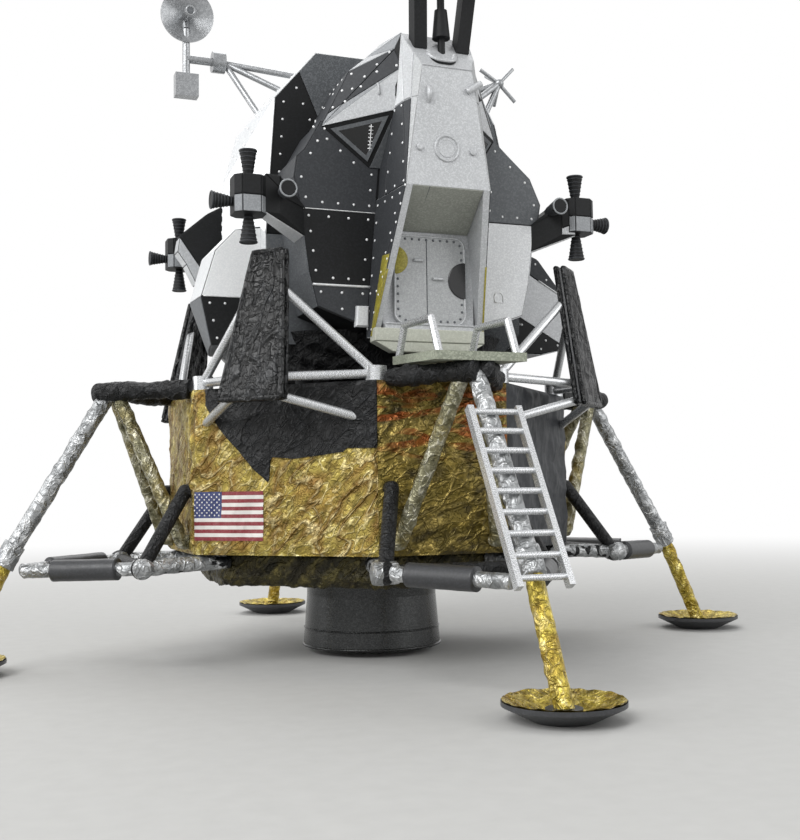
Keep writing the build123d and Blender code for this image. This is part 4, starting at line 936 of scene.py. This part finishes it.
class Side:
    """A side of the lower stage, from its first corner to its last one."""

    def __init__(self, number, first, last):
        self.number, self.first, self.width = number, first, np.linalg.norm(last - first)
        self.along = (last - first) / self.width
        self.out = np.array([self.along[1], -self.along[0]])

    def foil_rise(self, s, h):
        """How far the foil stands off at run s and height h: 0.04 mm and (1 + folds)/2 of the foil's height, less
        within 0.5 mm of the side's edges, where it is nothing."""
        height = bpy.context.scene.lander_sizes.foil_height / MM
        rise = 0.04 + height * np.clip((1 + folds(s, h, self.number + 3, 12, 7.0, 1.0)) / 2, 0, 1)
        edge = np.minimum.reduce([s, self.width - s, h - BODY_FOOT, DECK - h]) / 0.5
        return rise * np.clip(edge, 0, 1)

    def points(self, s, h, rise):
        """Points at run s, height h and rise off the side: first corner + s along + rise out, at height h."""
        x, y = (self.first[i] + self.along[i] * s + self.out[i] * rise for i in (0, 1))
        return np.stack([x, y, h], -1)

    def sheet(self, s, low, high, lift):
        """Foil between two heights, both given for each run s, that stands off by the foil's rise and by as much
        of lift as it is taller than 0.3 mm, all of it from 1.3 mm."""
        tall = (high - low)[:, None]
        h = low[:, None] + tall * np.linspace(0, 1, SHEET_ROWS)
        s = s[:, None] * np.ones((1, SHEET_ROWS))
        rise = self.foil_rise(s, h) + lift * np.clip(tall - 0.3, 0, 1)
        return self.points(s, h, rise), grid_faces(*s.shape)[:, ::-1]


def body_sides():
    """The eight sides of the lower stage, by number."""
    near, far = LEG_HALF, BODY_HALF
    corners = np.array([(-near, -far), (near, -far), (far, -near), (far, near),
                        (near, far), (-near, far), (-far, near), (-far, -near)])
    return [Side(number, *ends) for number, ends in enumerate(zip(corners, np.roll(corners, -1, 0)))]


class LANDER_OT_foil(bpy.types.Operator):
    """Crumpled foil on the sides of the lower stage and of the pan below it"""
    bl_idname = "lander.foil"
    bl_label = "Foil sheets"

    def execute(self, context):
        gold, amber, black, grey, olive = (Pile() for _ in range(5))
        torn_s, torn_h = np.array(TORN_EDGE).T
        for side in body_sides():
            s = np.linspace(0, side.width, int(side.width / SHEET_STEP))
            foot, top, deck = np.full(len(s), BODY_FOOT), np.full(len(s), DECK), np.full(len(s), DECK)
            if side.number in (FRONT_LEFT, REAR_RIGHT, REAR_LEFT):
                run = side.width - s if side.number == REAR_LEFT else s
                top = np.minimum(np.interp(run, torn_s, torn_h), DECK)
                black.put(side.sheet(s, top - TORN_OVERLAP, deck, BLACK_LIFT))
            pile = {FRONT: amber, FRONT_RIGHT: grey}.get(side.number, gold)
            pile.put(side.sheet(s, foot, top, 0.0))
        for normal, ring in facets("base_pan", 8):
            if abs(normal[2]) < 0.9 and len(ring) == 4:
                olive.put(sheet_on(ring, normal, 5 + int(40 * abs(normal[0])), PAN_FOLDS, 4.0))
        gold.make("gold_sheets", "gold_foil", "descent_stage", True, "gold_foil")
        amber.make("amber_sheet", "amber_foil", "descent_stage", True, "gold_foil")
        black.make("black_sheets", "black_foil", "descent_stage", True, "black_foil")
        grey.make("grey_sheet", "dark_grey", "descent_stage", True, "black_foil")
        olive.make("pan_sheets", "olive_foil", "descent_stage", True, "olive_foil")
        return {"FINISHED"}


class LANDER_OT_flag(bpy.types.Operator):
    """The striped flag on the foil, with its stars"""
    bl_idname = "lander.flag"
    bl_label = "Flag"

    def execute(self, context):
        side = body_sides()[FRONT_LEFT]
        (left, right), (foot, top) = FLAG_S, FLAG_Z
        u, v = np.meshgrid(*(np.linspace(0, 1, count) for count in FLAG_GRID), indexing="ij")
        s, h = left + u * (right - left), foot + v * (top - foot)
        paper = piece("flag", (side.points(s, h, side.foil_rise(s, h) + FLAG_LIFT), grid_faces(*FLAG_GRID)[:, ::-1]),
                      "flag", "descent_stage", True)
        layer = paper.data.uv_layers.new(name="UVMap")
        index = np.empty(len(paper.data.loops), int)
        paper.data.loops.foreach_get("vertex_index", index)
        layer.data.foreach_set("uv", np.stack([u, v], -1).reshape(-1, 2)[index].ravel())
        # nine rows of six and five stars by turns, each flat and just clear of the foil under it
        stars = Pile()
        turn = np.radians(90 + 36 * np.arange(10))
        reach = np.where(np.arange(10) % 2, STAR_INNER, STAR_OUTER)
        for row in range(9):
            for column in range(6 - row % 2):
                star_u = CANTON_WIDE / 12 * (1 + row % 2 + 2 * column)
                star_v = 1 - CANTON_STRIPES / FLAG_STRIPES * (row + 1) / 10
                s = left + star_u * (right - left) + reach * np.cos(turn)
                h = foot + star_v * (top - foot) + reach * np.sin(turn)
                stand = side.foil_rise(s[None], h[None]).max() + STAR_LIFT
                stars.put((side.points(s, h, stand), [list(range(10))]))
        stars.make("flag_stars", "star_white", "descent_stage")
        return {"FINISHED"}


def leg_piles(angle, seed, crease):
    """The foil tubes of a leg, as a pile for each row of LEG_PIECES: the strut with a collar at its knee, the rod,
    and to the left and right of them the brace, the beam of the outrigger, whose radius swells by 0.08 sin along
    it, the side strut, its sleeve, its knuckle and its arm."""
    piles = {name: Pile() for name, *_ in LEG_PIECES}

    def wrap(name, path, radius, around, depth, number):
        """A tube of foil along a path of this leg, added to its pile."""
        piles[name].put(tube(around_leg(path, angle), radius, around, depth, seed + number))

    up, shin, across = unit(STRUT_TOP - KNEE), unit(KNEE - FOOT), np.array((0, KNUCKLE_HALF, 0))
    wrap("strut_foil", run_between(KNEE, STRUT_TOP + STRUT_PAST * up, 0.22), STRUT_R, 22, crease, 1)
    collar = run_between(KNEE - COLLAR_BELOW * up, KNEE + COLLAR_ABOVE * up, 0.2)
    wrap("strut_foil", collar, KNEE_R, 22, crease * 1.3, 2)
    wrap("rod_foil", run_between(FOOT - ROD_BELOW * shin, KNEE + ROD_ABOVE * shin, 0.2), ROD_R, 22, crease, 3)
    for side in (-1, 1):
        root, tip, low, high, inner, outer, end = (np.array(point) * (1, side, 1) for point in (
            OUTRIGGER_ROOT, OUTRIGGER_TIP, BRACE_FOOT, BRACE_TOP, SIDE_INNER, SIDE_OUTER, ARM_END))
        path = np.vstack([run_between((BODY_HALF, low[1], low[2]), low, 0.25)[:-1], run_between(low, high, 0.25)])
        wrap("brace_foil", path, BRACE_R, 20, crease, 4 + side)
        beam = run_between(root, tip + OUTRIGGER_PAST * (tip - root), 0.22)
        swell = 1 + 0.08 * np.sin(np.linspace(0, 9, len(beam)) + side)
        wrap("outrigger_foil", beam, OUTRIGGER_R * swell, 26, OUTRIGGER_CREASE, 6 + side)
        wrap("side_strut_foil", run_between(inner, outer, 0.22), SIDE_R, 20, crease * 0.8, 8 + side)
        cover = run_between(inner + SLEEVE_START * (outer - inner), inner + SLEEVE_END * (outer - inner), 0.3)
        wrap("side_sleeves", cover, SLEEVE_R, 24, SLEEVE_CREASE, 3)
        wrap("truss_knuckles", run_between(inner - across, inner + across, 0.2), KNUCKLE_R, 22, crease * 1.3,
             9 + side)
        wrap("arm_foil", run_between(inner, end, 0.25), ARM_R, 20, crease, 12 + side)
    return piles


def pad_liner(angle, seed):
    """The foil in a pad: level up to LINER_BEND, then rising by LINER_SLOPE, with folds LINER_CREASE high."""
    grid = (22, 90)
    reach, turn = np.meshgrid(np.linspace(LINER_INNER, LINER_OUTER, grid[0]),
                              np.linspace(0, 2 * np.pi, grid[1], endpoint=False), indexing="ij")
    x, y = reach * np.cos(turn), reach * np.sin(turn)
    height = LINER_Z + np.clip(reach - LINER_BEND, 0, None) * LINER_SLOPE
    height += LINER_CREASE * folds(x, y, seed, 8, 3.0, 1.0)
    return around_leg(np.stack([FOOT[0] + x, y, height], -1), angle), grid_faces(*grid, True)[:, ::-1]


class LANDER_OT_legs(bpy.types.Operator):
    """Foil-wrapped struts, black sleeves and wrapped outriggers of the four legs, and the liners of their pads"""
    bl_idname = "lander.legs"
    bl_label = "Legs"

    def execute(self, context):
        crease = context.scene.lander_sizes.strut_crease / MM
        for number, (name, angle) in enumerate(LEGS):
            piles = leg_piles(angle, 10 * number, crease)
            for start, finish, slot, node in LEG_PIECES:
                wrapped = piles[start].make(start + "_" + name, finish, "descent_stage", True, slot)
                if node:
                    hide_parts(node + "_" + name)
            piece("pad_liner_" + name, pad_liner(angle, 10 * number + 7), "pad_foil", "descent_stage", True)
        return {"FINISHED"}


class LANDER_OT_deflectors(bpy.types.Operator):
    """Crumpled black foil on both faces of the four blast deflectors, rolled over their edges"""
    bl_idname = "lander.deflectors"
    bl_label = "Deflectors"

    def execute(self, context):
        for number, corner in enumerate(CORNERS):
            pile = Pile()
            for normal, ring in facets("plume_deflector_" + corner, 50):
                if len(ring) == 4:
                    pile.put(sheet_on(ring, normal, number * 2 + (normal[1] > 0), DEFLECTOR_FOLDS, 4.5))
                    edge = np.vstack([run_between(a, b, 0.4)[:-1] for a, b in zip(ring, np.roll(ring, -1, 0))])
                    pile.put(tube(np.vstack([edge, edge[:1]]) - ROLL_SUNK * normal, ROLL_R, 12, 0.05, number))
            pile.make("deflector_foil_" + corner, "deflector_foil", "descent_stage", True, "black_foil")
        return {"FINISHED"}


class Panels:
    """Plates by finish, and the rivets on them, gathered for a few joined meshes."""

    def __init__(self, sizes):
        self.proud, self.gap = sizes.plate_proud / MM, sizes.seam_gap / MM
        self.pitch, self.radius = sizes.rivet_pitch / MM, sizes.rivet_radius / MM
        self.piles, self.spots, self.normals = {}, [], []

    def lay(self, ring, normal, finish, riveted=False, margin=0.95, closed=False):
        """One plate on a ring of a face, and its rivets if it has them; closed leaves no gap round it."""
        if len(ring) < 3:
            return
        gap = -0.04 if closed else self.gap
        self.piles.setdefault(finish, Pile()).put(plate(ring, normal, self.proud, gap))
        if riveted:
            spots = rivet_places(ring, normal, margin, self.pitch, self.proud)
            self.spots.append(spots)
            self.normals.append(np.broadcast_to(normal, spots.shape))

    def make(self, name, body):
        """The plates, one mesh for each finish."""
        for finish, pile in self.piles.items():
            pile.make(name + "_" + finish, finish, body)

    def make_rivets(self, name, body):
        """All rivets in one mesh."""
        heads = domes(np.vstack(self.spots), np.vstack(self.normals), self.radius, 0.6 * self.radius)
        piece(name, heads, "rivet_silver", body, True)


def cabin_front(panels):
    """The cabin's front, left and right of the column's slanting edge, in rows between level seams."""
    (x_high, z_high), (x_low, z_low) = COLUMN_EDGE
    lean = (x_low - x_high) / (z_high - z_low)
    normal, ring = next((n, r) for n, r in facets("crew_cabin", 300) if n[1] < -0.9)
    for side, low, high, finish, riveted in CABIN_ROWS:
        half = clip(ring, (side, 0, lean), x_high + lean * z_high)
        panels.lay(clip(clip(half, UPWARD, low), -UPWARD, -high), normal, finish, riveted)


def mid_front(panels):
    """The middle section's front, seen above the cabin: a riveted black corner left of a slanting seam and a
    grainy grey facet right of it."""
    for normal, ring in facets("mid_section", 1000):
        if normal[1] < -0.9:
            right, corner = split(ring, MID_ACROSS, MID_ACROSS @ MID_SEAM)
            upper, lower = split(corner, UPWARD, MID_SEAM_Z)
            panels.lay(upper, normal, "near_black", True, 1.3)
            panels.lay(lower, normal, "mid_grey")
            panels.lay(right, normal, "grainy_grey")


def within(ring, low, high):
    """Whether the mean of a ring's corners lies in a box."""
    middle = ring.mean(0)
    return (middle >= low).all() and (middle <= high).all()


def brow(panels):
    """The brow's left side, over two facets: bright below a seam from the edge by the window to the column's top,
    dark and riveted above it."""
    start = BROW_CORNER + BROW_SHARE * (BROW_PEAK - BROW_CORNER)
    across = np.cross(BROW_END - start, BROW_NORMAL)
    across *= np.sign(across[2])
    for normal, ring in facets("crew_cabin", 4):
        if within(ring, *BROW_BOX):
            upper, lower = split(ring, across, across @ start)
            panels.lay(upper, normal, "dark_grey", True, 0.6)
            panels.lay(lower, normal, "pale_grey")


def bays(panels):
    """The two tank bays: their fronts in parts between seams, their other facets by height; on the left bay the upper
    facets also by how they face, as painted shade.
    """
    for normal, ring in facets("tank_bay_left", 2):
        if normal[1] < -0.9:
            upper, lower = split(ring, UPWARD, LEFT_SEAM_Z)
            panels.lay(upper, normal, "white_silver")
            panels.lay(lower, normal, "near_black", True)
        elif ring[:, 2].mean() > 50:
            # painted shade: of these upper facets, those facing well to the left get the greyer light_silver and the
            # others white_silver, as the shaded and lit sides of one white surface
            panels.lay(ring, normal, "white_silver" if normal[0] > -0.8 else "light_silver")
        else:
            panels.lay(ring, normal, "mid_grey")
    for normal, ring in facets("tank_bay_right", 2):
        if normal[1] < -0.9:
            upper, rest = split(ring, RIGHT_ACROSS, RIGHT_ACROSS @ RIGHT_SEAM)
            middle, lower = split(rest, RIGHT_ACROSS, RIGHT_ACROSS @ RIGHT_LOW)
            panels.lay(upper, normal, "dark_grey", True, 0.8)
            panels.lay(middle, normal, "silver")
            panels.lay(lower, normal, "near_black", True, 0.8)
        elif ring[:, 2].mean() > 55:
            panels.lay(ring, normal, "dark_grey", True)
        else:
            panels.lay(ring, normal, "silver")


def left_out(node, normal, ring):
    """Whether the rows of PANELS pass a facet by: fronts and backs of the cabin and the middle section, the aft
    bay's front, and of the column what looks into the alcove or reaches its top."""
    if node == "front_column":
        return normal[0] * ring[:, 0].mean() < 0 or ring[:, 2].max() > 80
    return normal[1] < -0.9 if node == "aft_bay" else abs(normal[1]) > 0.9


class LANDER_OT_panels(bpy.types.Operator):
    """Thin panels with rivets over the upper stage, and the silver beads on their seams"""
    bl_idname = "lander.panels"
    bl_label = "Panels and rivets"

    def execute(self, context):
        panels = Panels(context.scene.lander_sizes)
        cabin_front(panels)
        mid_front(panels)
        brow(panels)
        bays(panels)
        for node in ("crew_cabin", "front_column", "mid_section", "aft_bay"):
            for normal, ring in facets(node, 4):
                row = next((r for r in PANELS if r[0] == node and within(ring, r[1], r[2])), None)
                if row and not left_out(node, normal, ring):
                    bent = node in ("crew_cabin", "mid_section") and abs(ring[:, 0].mean()) > 9
                    panels.lay(ring, normal, *row[3:], closed=bent)
        for side in (-1, 1):
            for corners, dark, bright, riveted in SPLIT_FACETS:
                ring, normal = outward(corners, side)
                upper, lower = split(ring, UPWARD, BROW_Z)
                panels.lay(lower, normal, dark, riveted, 0.5)
                panels.lay(upper, normal, bright)
        panels.lay(*outward(BROW_FACET, -1), "silver", closed=True)
        panels.make("panel", "ascent_stage")
        panels.make_rivets("panel_rivets", "ascent_stage")
        beads = Pile(*(rod(start, end, 0.5, radius, 12, flat=0.7) for start, end, radius in BEADS))
        beads.make("seam_beads", "bead_silver", "ascent_stage", True)
        piece("cabin_block", plate(CABIN_BLOCK, FORWARD, CABIN_BLOCK_PROUD, 0.0, 0.2), "light_silver", "ascent_stage")
        return {"FINISHED"}


def column_point(x, z, stand=0.0):
    """A point on the column's front, stand mm in front of it: y runs evenly with z between the front's two ends."""
    (y_low, z_low), (y_high, z_high) = COLUMN_FRONT
    return np.array((x, y_low + (y_high - y_low) * (z - z_low) / (z_high - z_low) - stand, z))


class LANDER_OT_column(bpy.types.Operator):
    """Ring, knobs, tab, stub, lip and cradle of the column, and the small arch on the cabin's right front"""
    bl_idname = "lander.column"
    bl_label = "Column fittings"

    def execute(self, context):
        fittings = Pile(*(ring_wire(column_point(*COLUMN_RING, proud), FORWARD, *sizes)
                          for proud, *sizes in RING_WIRES))
        for x, z in COLUMN_KNOBS:
            fittings.put(disc(column_point(x, z), FORWARD, KNOB_R, KNOB_H))
        fittings.put(disc(column_point(*COLUMN_TAB, -TAB_SUNK), (1, 0, 0), TAB_R, TAB_THICK, 90, 270, 20))
        root, end = COLUMN_STUB
        fittings.put(rod(column_point(*root, 0.1), column_point(*end, 0.5), 0.2, STUB_R, 14))
        left, right = COLUMN_LIP
        fittings.put(rod(column_point(*left, 0.02), column_point(*right, 0.02), 0.4, LIP_R, 8))
        # the cradle lies level and turns up at both ends, by the fourth power of the way out
        bow = np.linspace(-1, 1, 21)[:, None]
        cradle = CRADLE + bow * (CRADLE_HALF, 0, 0) + bow ** 4 * CRADLE_RISE * CRADLE_SLOPE
        fittings.put(tube(cradle + CRADLE_R * CRADLE_SLOPE, CRADLE_R, 12, flat=0.8))
        piece("cradle_line", tube(cradle - 0.06 * CRADLE_SLOPE, CRADLE_LINE_R, 8), "near_black", "ascent_stage", True)
        turn = np.radians(np.linspace(-90, 90, 9))
        hook = np.stack([-0.1 * np.sin(turn), -0.35 * np.cos(turn), 0.7 * np.sin(turn)], -1) + BROW_HOOK
        fittings.put(tube(hook, HOOK_R, 8))
        fittings.make("column_fittings", "silver", "ascent_stage", True)
        # the arch: a half circle on two short legs, closed by a bar at their feet
        y, middle, radius = CABIN_Y - ARCH_PROUD, (ARCH_LEFT + ARCH_RIGHT) / 2, (ARCH_RIGHT - ARCH_LEFT) / 2
        turn = np.linspace(np.pi, 0, 12)
        bow = np.stack([middle + radius * np.cos(turn), np.full(12, y), ARCH_SPRING + radius * np.sin(turn)], -1)
        arch = np.vstack([(ARCH_LEFT, y, ARCH_FOOT), bow, (ARCH_RIGHT, y, ARCH_FOOT)])
        outline = Pile(tube(arch, ARCH_R, 8), rod(arch[0], arch[-1], 0.3, ARCH_R, 8))
        outline.make("cabin_arch", "bead_silver", "ascent_stage", True)
        return {"FINISHED"}


def hatch_outline(margin, stand, step):
    """A rounded rectangle on the hatch, drawn in by margin: straight runs joined by quarter circles, with a point
    at about every step."""
    r = HATCH_ROUND - margin * 0.5
    half, low, high = HATCH_HALF - margin - r, HATCH_LOW + margin + r, HATCH_HIGH - margin - r
    points = []
    for x, z, start in ((half, low, -90), (half, high, 0), (-half, high, 90), (-half, low, 180)):
        turn = np.radians(np.linspace(start, start + 90, 7))
        points.append(np.stack([x + r * np.cos(turn), np.full(7, HATCH_Y - stand), z + r * np.sin(turn)], -1))
    loop = np.vstack(points + [points[0][:1]])
    run = np.concatenate([[0], np.linalg.norm(np.diff(loop, axis=0), axis=1).cumsum()])
    at = np.linspace(0, run[-1], int(run[-1] / step) + 1)
    return np.stack([np.interp(at, run, loop[:, i]) for i in range(3)], -1)


class LANDER_OT_hatch(bpy.types.Operator):
    """Rim, rivets, seam, handles and painted marks of the front hatch and its alcove"""
    bl_idname = "lander.hatch"
    bl_label = "Hatch fittings"

    def execute(self, context):
        rim = Pile(tube(hatch_outline(RIM_IN, RIM_PROUD, 0.3), RIM_R, 8))
        for left, right, z in HATCH_HANDLES:
            y = HATCH_Y - HANDLE_PROUD
            rim.put(rod((left, y, z), (right, y, z), 0.2, HANDLE_R, 12))
        rim.put(rod((-SILL_HALF, SILL_Y, SILL_Z), (SILL_HALF, SILL_Y, SILL_Z), 0.5, SILL_R, 8))
        rim.make("hatch_rim", "silver", "ascent_stage", True)
        spots = hatch_outline(HATCH_RIVET_IN, 0.0, HATCH_RIVET_PITCH)[:-1]
        heads = domes(spots, np.tile(FORWARD, (len(spots), 1)), HATCH_RIVET_R, HATCH_RIVET_H)
        piece("hatch_rivets", heads, "mid_grey", "ascent_stage", True)
        x, low, high = HATCH_SEAM
        lines = Pile(rod((x, HATCH_Y, low), (x, HATCH_Y, high), 0.5, SEAM_R, 8))
        for start, end in CEILING_SEAMS:
            lines.put(rod(start, end, 0.5, CEILING_SEAM_R, 8))
        lines.make("alcove_lines", "grainy_grey", "ascent_stage", True)
        x, z, radius = DARK_MARK
        mark = disc((x, HATCH_Y, z), FORWARD, radius, MARK_PROUD, 90, 270)
        piece("hatch_dark_mark", mark, "glass_black", "ascent_stage")
        x, z, radius = YELLOW_MARK
        yellow = Pile(disc((x, HATCH_Y, z), FORWARD, radius, MARK_PROUD, -90, 90))
        for side, *shares in ALCOVE_PAINTED:
            start, end = ((ALCOVE_FOOT + share * (ALCOVE_TOP - ALCOVE_FOOT)) * (side, 1, 1) for share in shares)
            yellow.put(rod(start, end, 0.5, EDGE_R, 10))
        for side in (-1, 1):
            yellow.put(plate(*outward(YELLOW_WEDGE, side), WEDGE_PROUD, 0.02))
        yellow.make("alcove_yellow", "yellow_paint", "ascent_stage", True)
        return {"FINISHED"}


def wrap_sheet():
    """The wrap under the upper stage: rows of rounded rectangles, half size times sign(cos a) |cos a| to the power
    0.6 and the same of sin. The first half of them goes down the wall, the second in to the middle, where the size
    goes with the 0.8th power of what is left. Folds swell them by up to 2.5 % and the floor by 0.25 mm."""
    columns, rows = WRAP_GRID
    turn = np.linspace(0, 2 * np.pi, columns, endpoint=False)[None]
    share = np.linspace(0, 1, rows)[:, None]
    wall, left = share < 0.5, (2 - 2 * share) ** 0.8
    wide, deep = (np.where(wall, top + (foot - top) * 2 * share, foot * left) for top, foot in (WRAP_WIDE, WRAP_DEEP))
    round_x, round_y = (np.sign(wave) * np.abs(wave) ** 0.6 for wave in (np.cos(turn), np.sin(turn)))
    lump = folds(16 * turn + 0 * share, 20 * share + 0 * turn, 77, 10, 5.0, 1.3)
    swell = 1 + 0.025 * lump * np.sin(np.pi * share)
    top, foot = WRAP_Z
    z = np.where(wall, top + (foot - top) * 2 * share, foot - 0.3 * (share - 0.5)) + 0.25 * lump * (share > 0.45)
    points = np.stack([wide * round_x * swell, WRAP_Y + deep * round_y * swell, z], -1)
    # the last row, a point, gives way to one face
    last = (rows - 2) * columns
    return points[:-1], grid_faces(rows - 1, columns, True).tolist() + [list(range(last, last + columns))]


class LANDER_OT_underside(bpy.types.Operator):
    """Apron under the hatch and the black wrap under the upper stage"""
    bl_idname = "lander.underside"
    bl_label = "Apron and underside"

    def execute(self, context):
        upper, lower = split(np.array([(x, APRON_Y, z) for x, z in APRON]), UPWARD, APRON_SEAM_Z)
        apron = Pile(plate(upper, FORWARD, APRON_UPPER, 0.03, 0.1), plate(lower, FORWARD, APRON_LOWER, 0.03, 0.1))
        apron.make("sill_apron", "apron_paint", "ascent_stage")
        piece("underside_wrap", wrap_sheet(), "black_foil", "ascent_stage", True)
        return {"FINISHED"}


class LANDER_OT_windows(bpy.types.Operator):
    """Frames of the two canted windows and the white scale in them"""
    bl_idname = "lander.windows"
    bl_label = "Windows"

    def execute(self, context):
        frames, ticks = Pile(), Pile()
        for side in (-1, 1):
            a, b, c = np.array(WINDOW_CORNERS[side]) * (side, 1, 1)
            normal = unit(np.cross(b - a, c - a))
            ring = np.array([a, b, c])
            if normal[1] > 0:
                normal, ring = -normal, np.array([a, c, b])
            frames.put(strip(ring, normal, FRAME_OUTER, FRAME_INNER, 0.1, WINDOW_PROUD + 0.1))
            # the scale: a line from near the top edge to near the lower corner, with short marks across it
            top, foot = a + 0.68 * (c - a), b + 0.1 * (a - b) + 0.2 * (c - b)
            top, foot = top + 0.25 * (foot - top), foot - 0.05 * (foot - top)
            level = unit(np.cross(foot - top, normal))
            stand = (WINDOW_PROUD + 0.05) * normal
            ticks.put(rod(top + stand, foot + stand, 0.3, SCALE_R, 6))
            for share in np.linspace(0.08, 0.92, SCALE_MARKS):
                middle = top + share * (foot - top) + stand
                ticks.put(rod(middle - TICK_HALF * level, middle + TICK_HALF * level, 0.2, TICK_R, 6))
        frames.make("window_frames", "mid_grey", "ascent_stage")
        ticks.make("window_scales", "rivet_silver", "ascent_stage", True)
        return {"FINISHED"}


def thruster_bands(panels, name, hub):
    """Plates of a thruster group: its block dark above a level seam and pale below it, its arm bright underneath,
    dark above a seam that runs along its underside and silver below that."""
    sides = facets("thruster_quad_" + name, 3)
    under, low = next((n, n @ r[0]) for n, r in sides if n[2] < -0.5 and abs(n[0]) > 0.2)
    for normal, ring in sides:
        reach = np.linalg.norm(ring.mean(0)[:2] - hub[:2])
        if abs(normal[2]) < 0.1 and reach < BLOCK_HALF + 0.3:
            upper, lower = split(ring, UPWARD, hub[2] - BAND_DROP)
            panels.lay(upper, normal, "near_black")
            panels.lay(lower, normal, "pale_grey")
        elif normal[2] < -0.3:
            panels.lay(ring, normal, "light_silver")
        elif reach > BLOCK_HALF:
            lower, upper = split(ring, under, low - ARM_SEAM)
            panels.lay(upper, normal, "near_black")
            panels.lay(lower, normal, "silver")


class LANDER_OT_thrusters(bpy.types.Operator):
    """Ribs and rims of the sixteen cones, a near-black disc in each mouth as painted shade of its hollow, and the
    two-tone panels on the thruster blocks
    """
    bl_idname = "lander.thrusters"
    bl_label = "Thrusters"

    def execute(self, context):
        ribs, rims, mouth_shades = Pile(), Pile(), Pile()
        panels = Panels(context.scene.lander_sizes)
        for name, hub in QUADS:
            hub = np.array(hub)
            sideways, lengthways = np.array((np.sign(hub[0]), 0, 0)), np.array((0, np.sign(hub[1]), 0))
            side_hub, end_hub = hub - SIDE_DROP * UPWARD, hub - END_INSET * sideways + END_RISE * UPWARD
            for start, axis, stand, long, edges in (
                    (hub, UPWARD, BLOCK_H / 2, CONE_LONG, ribs), (hub, -UPWARD, BLOCK_H / 2, CONE_LONG, ribs),
                    (side_hub, sideways, BLOCK_HALF, CONE_SHORT, ribs), (end_hub, lengthways, 0, CONE_LONG, rims)):
                root = start + axis * (stand - CONE_SUNK)
                for share in np.linspace(0.18, 0.9, CONE_RIBS):
                    radius = CONE_ROOT_R + share * (CONE_MOUTH_R - CONE_ROOT_R)
                    ribs.put(ring_wire(root + share * long * axis, axis, radius, RIB_R, 20, 6))
                mouth = root + long * axis
                edges.put(ring_wire(mouth, axis, CONE_MOUTH_R - 0.02, CONE_RIM_R, 28, 6))
                # painted shade: a near-black disc in the mouth of each solid cone stands for the shade inside a hollow
                # one
                mouth_shades.put(disc(mouth, axis, CONE_MOUTH_R - 0.12, MOUTH_PROUD))
            thruster_bands(panels, name, hub)
        panels.make("thruster_bands", "ascent_stage")
        ribs.make("cone_ribs", "dark_grey", "ascent_stage", True)
        rims.make("cone_rims", "pale_grey", "ascent_stage", True)
        mouth_shades.make("cone_mouth_shades", "near_black", "ascent_stage")
        return {"FINISHED"}


class LANDER_OT_aerials(bpy.types.Operator):
    """Rolled rim, line and feed ring of the dish, and a grey disc on the end of its feed as painted shade of the feed's
    open mouth
    """
    bl_idname = "lander.aerials"
    bl_label = "Aerials"

    def execute(self, context):
        tilt = np.radians(DISH_DOWN)
        axis = np.array((0, -np.cos(tilt), -np.sin(tilt)))
        rings = Pile(*(ring_wire(DISH_MIDDLE + far * axis, axis, *sizes) for far, *sizes in DISH_RINGS))
        rings.make("dish_rings", "tube_silver", "dish", True)
        # painted shade: a grey disc on the end of the feed stands for the shade in its open mouth
        piece("feed_mouth_shade", disc(DISH_MIDDLE + FEED_END * axis, axis, FEED_R, 0.05), "mid_grey", "dish")
        return {"FINISHED"}


class LANDER_OT_bell(bpy.types.Operator):
    """Rim and ring line of the lower engine's bell"""
    bl_idname = "lander.bell"
    bl_label = "Bell rings"

    def execute(self, context):
        rings = Pile(*(ring_wire((0, 0, z), UPWARD, radius, wire, 96, 8) for z, radius, wire in BELL_RINGS))
        rings.make("bell_rings", "bell_gunmetal_and_shade", "descent_stage", True, "gunmetal_paint")
        return {"FINISHED"}


class LANDER_PT_sidebar(bpy.types.Panel):
    """The steps that dress the lander, and their sizes and colours"""
    bl_idname = "LANDER_PT_sidebar"
    bl_label = "Lander"
    bl_space_type = "VIEW_3D"
    bl_region_type = "UI"
    bl_category = "Lander"

    def draw(self, context):
        for group, kind in ((context.scene.lander_sizes, LanderSizes), (context.scene.lander_colours, LanderColours)):
            for name in kind.__annotations__:
                self.layout.prop(group, name)
        for step in STEPS:
            self.layout.operator(step.bl_idname)


STEPS = (LANDER_OT_stage, LANDER_OT_finishes, LANDER_OT_foil, LANDER_OT_flag, LANDER_OT_legs, LANDER_OT_deflectors,
         LANDER_OT_panels, LANDER_OT_column, LANDER_OT_hatch, LANDER_OT_underside, LANDER_OT_windows,
         LANDER_OT_thrusters, LANDER_OT_aerials, LANDER_OT_bell)
CLASSES = (LanderSizes, LanderColours, *STEPS, LANDER_PT_sidebar)


def register():
    """Adds the classes, and their values to every scene."""
    for entry in CLASSES:
        bpy.utils.register_class(entry)
    bpy.types.Scene.lander_sizes = PointerProperty(type=LanderSizes)
    bpy.types.Scene.lander_colours = PointerProperty(type=LanderColours)


def unregister():
    """Takes both away again."""
    del bpy.types.Scene.lander_colours
    del bpy.types.Scene.lander_sizes
    for entry in reversed(CLASSES):
        bpy.utils.unregister_class(entry)


def main():
    """Runs every step in order and keeps both boxes."""
    register()
    for step in STEPS:
        getattr(bpy.ops.lander, step.bl_idname.split(".")[1])()


if __name__ == "__main__":
    main()
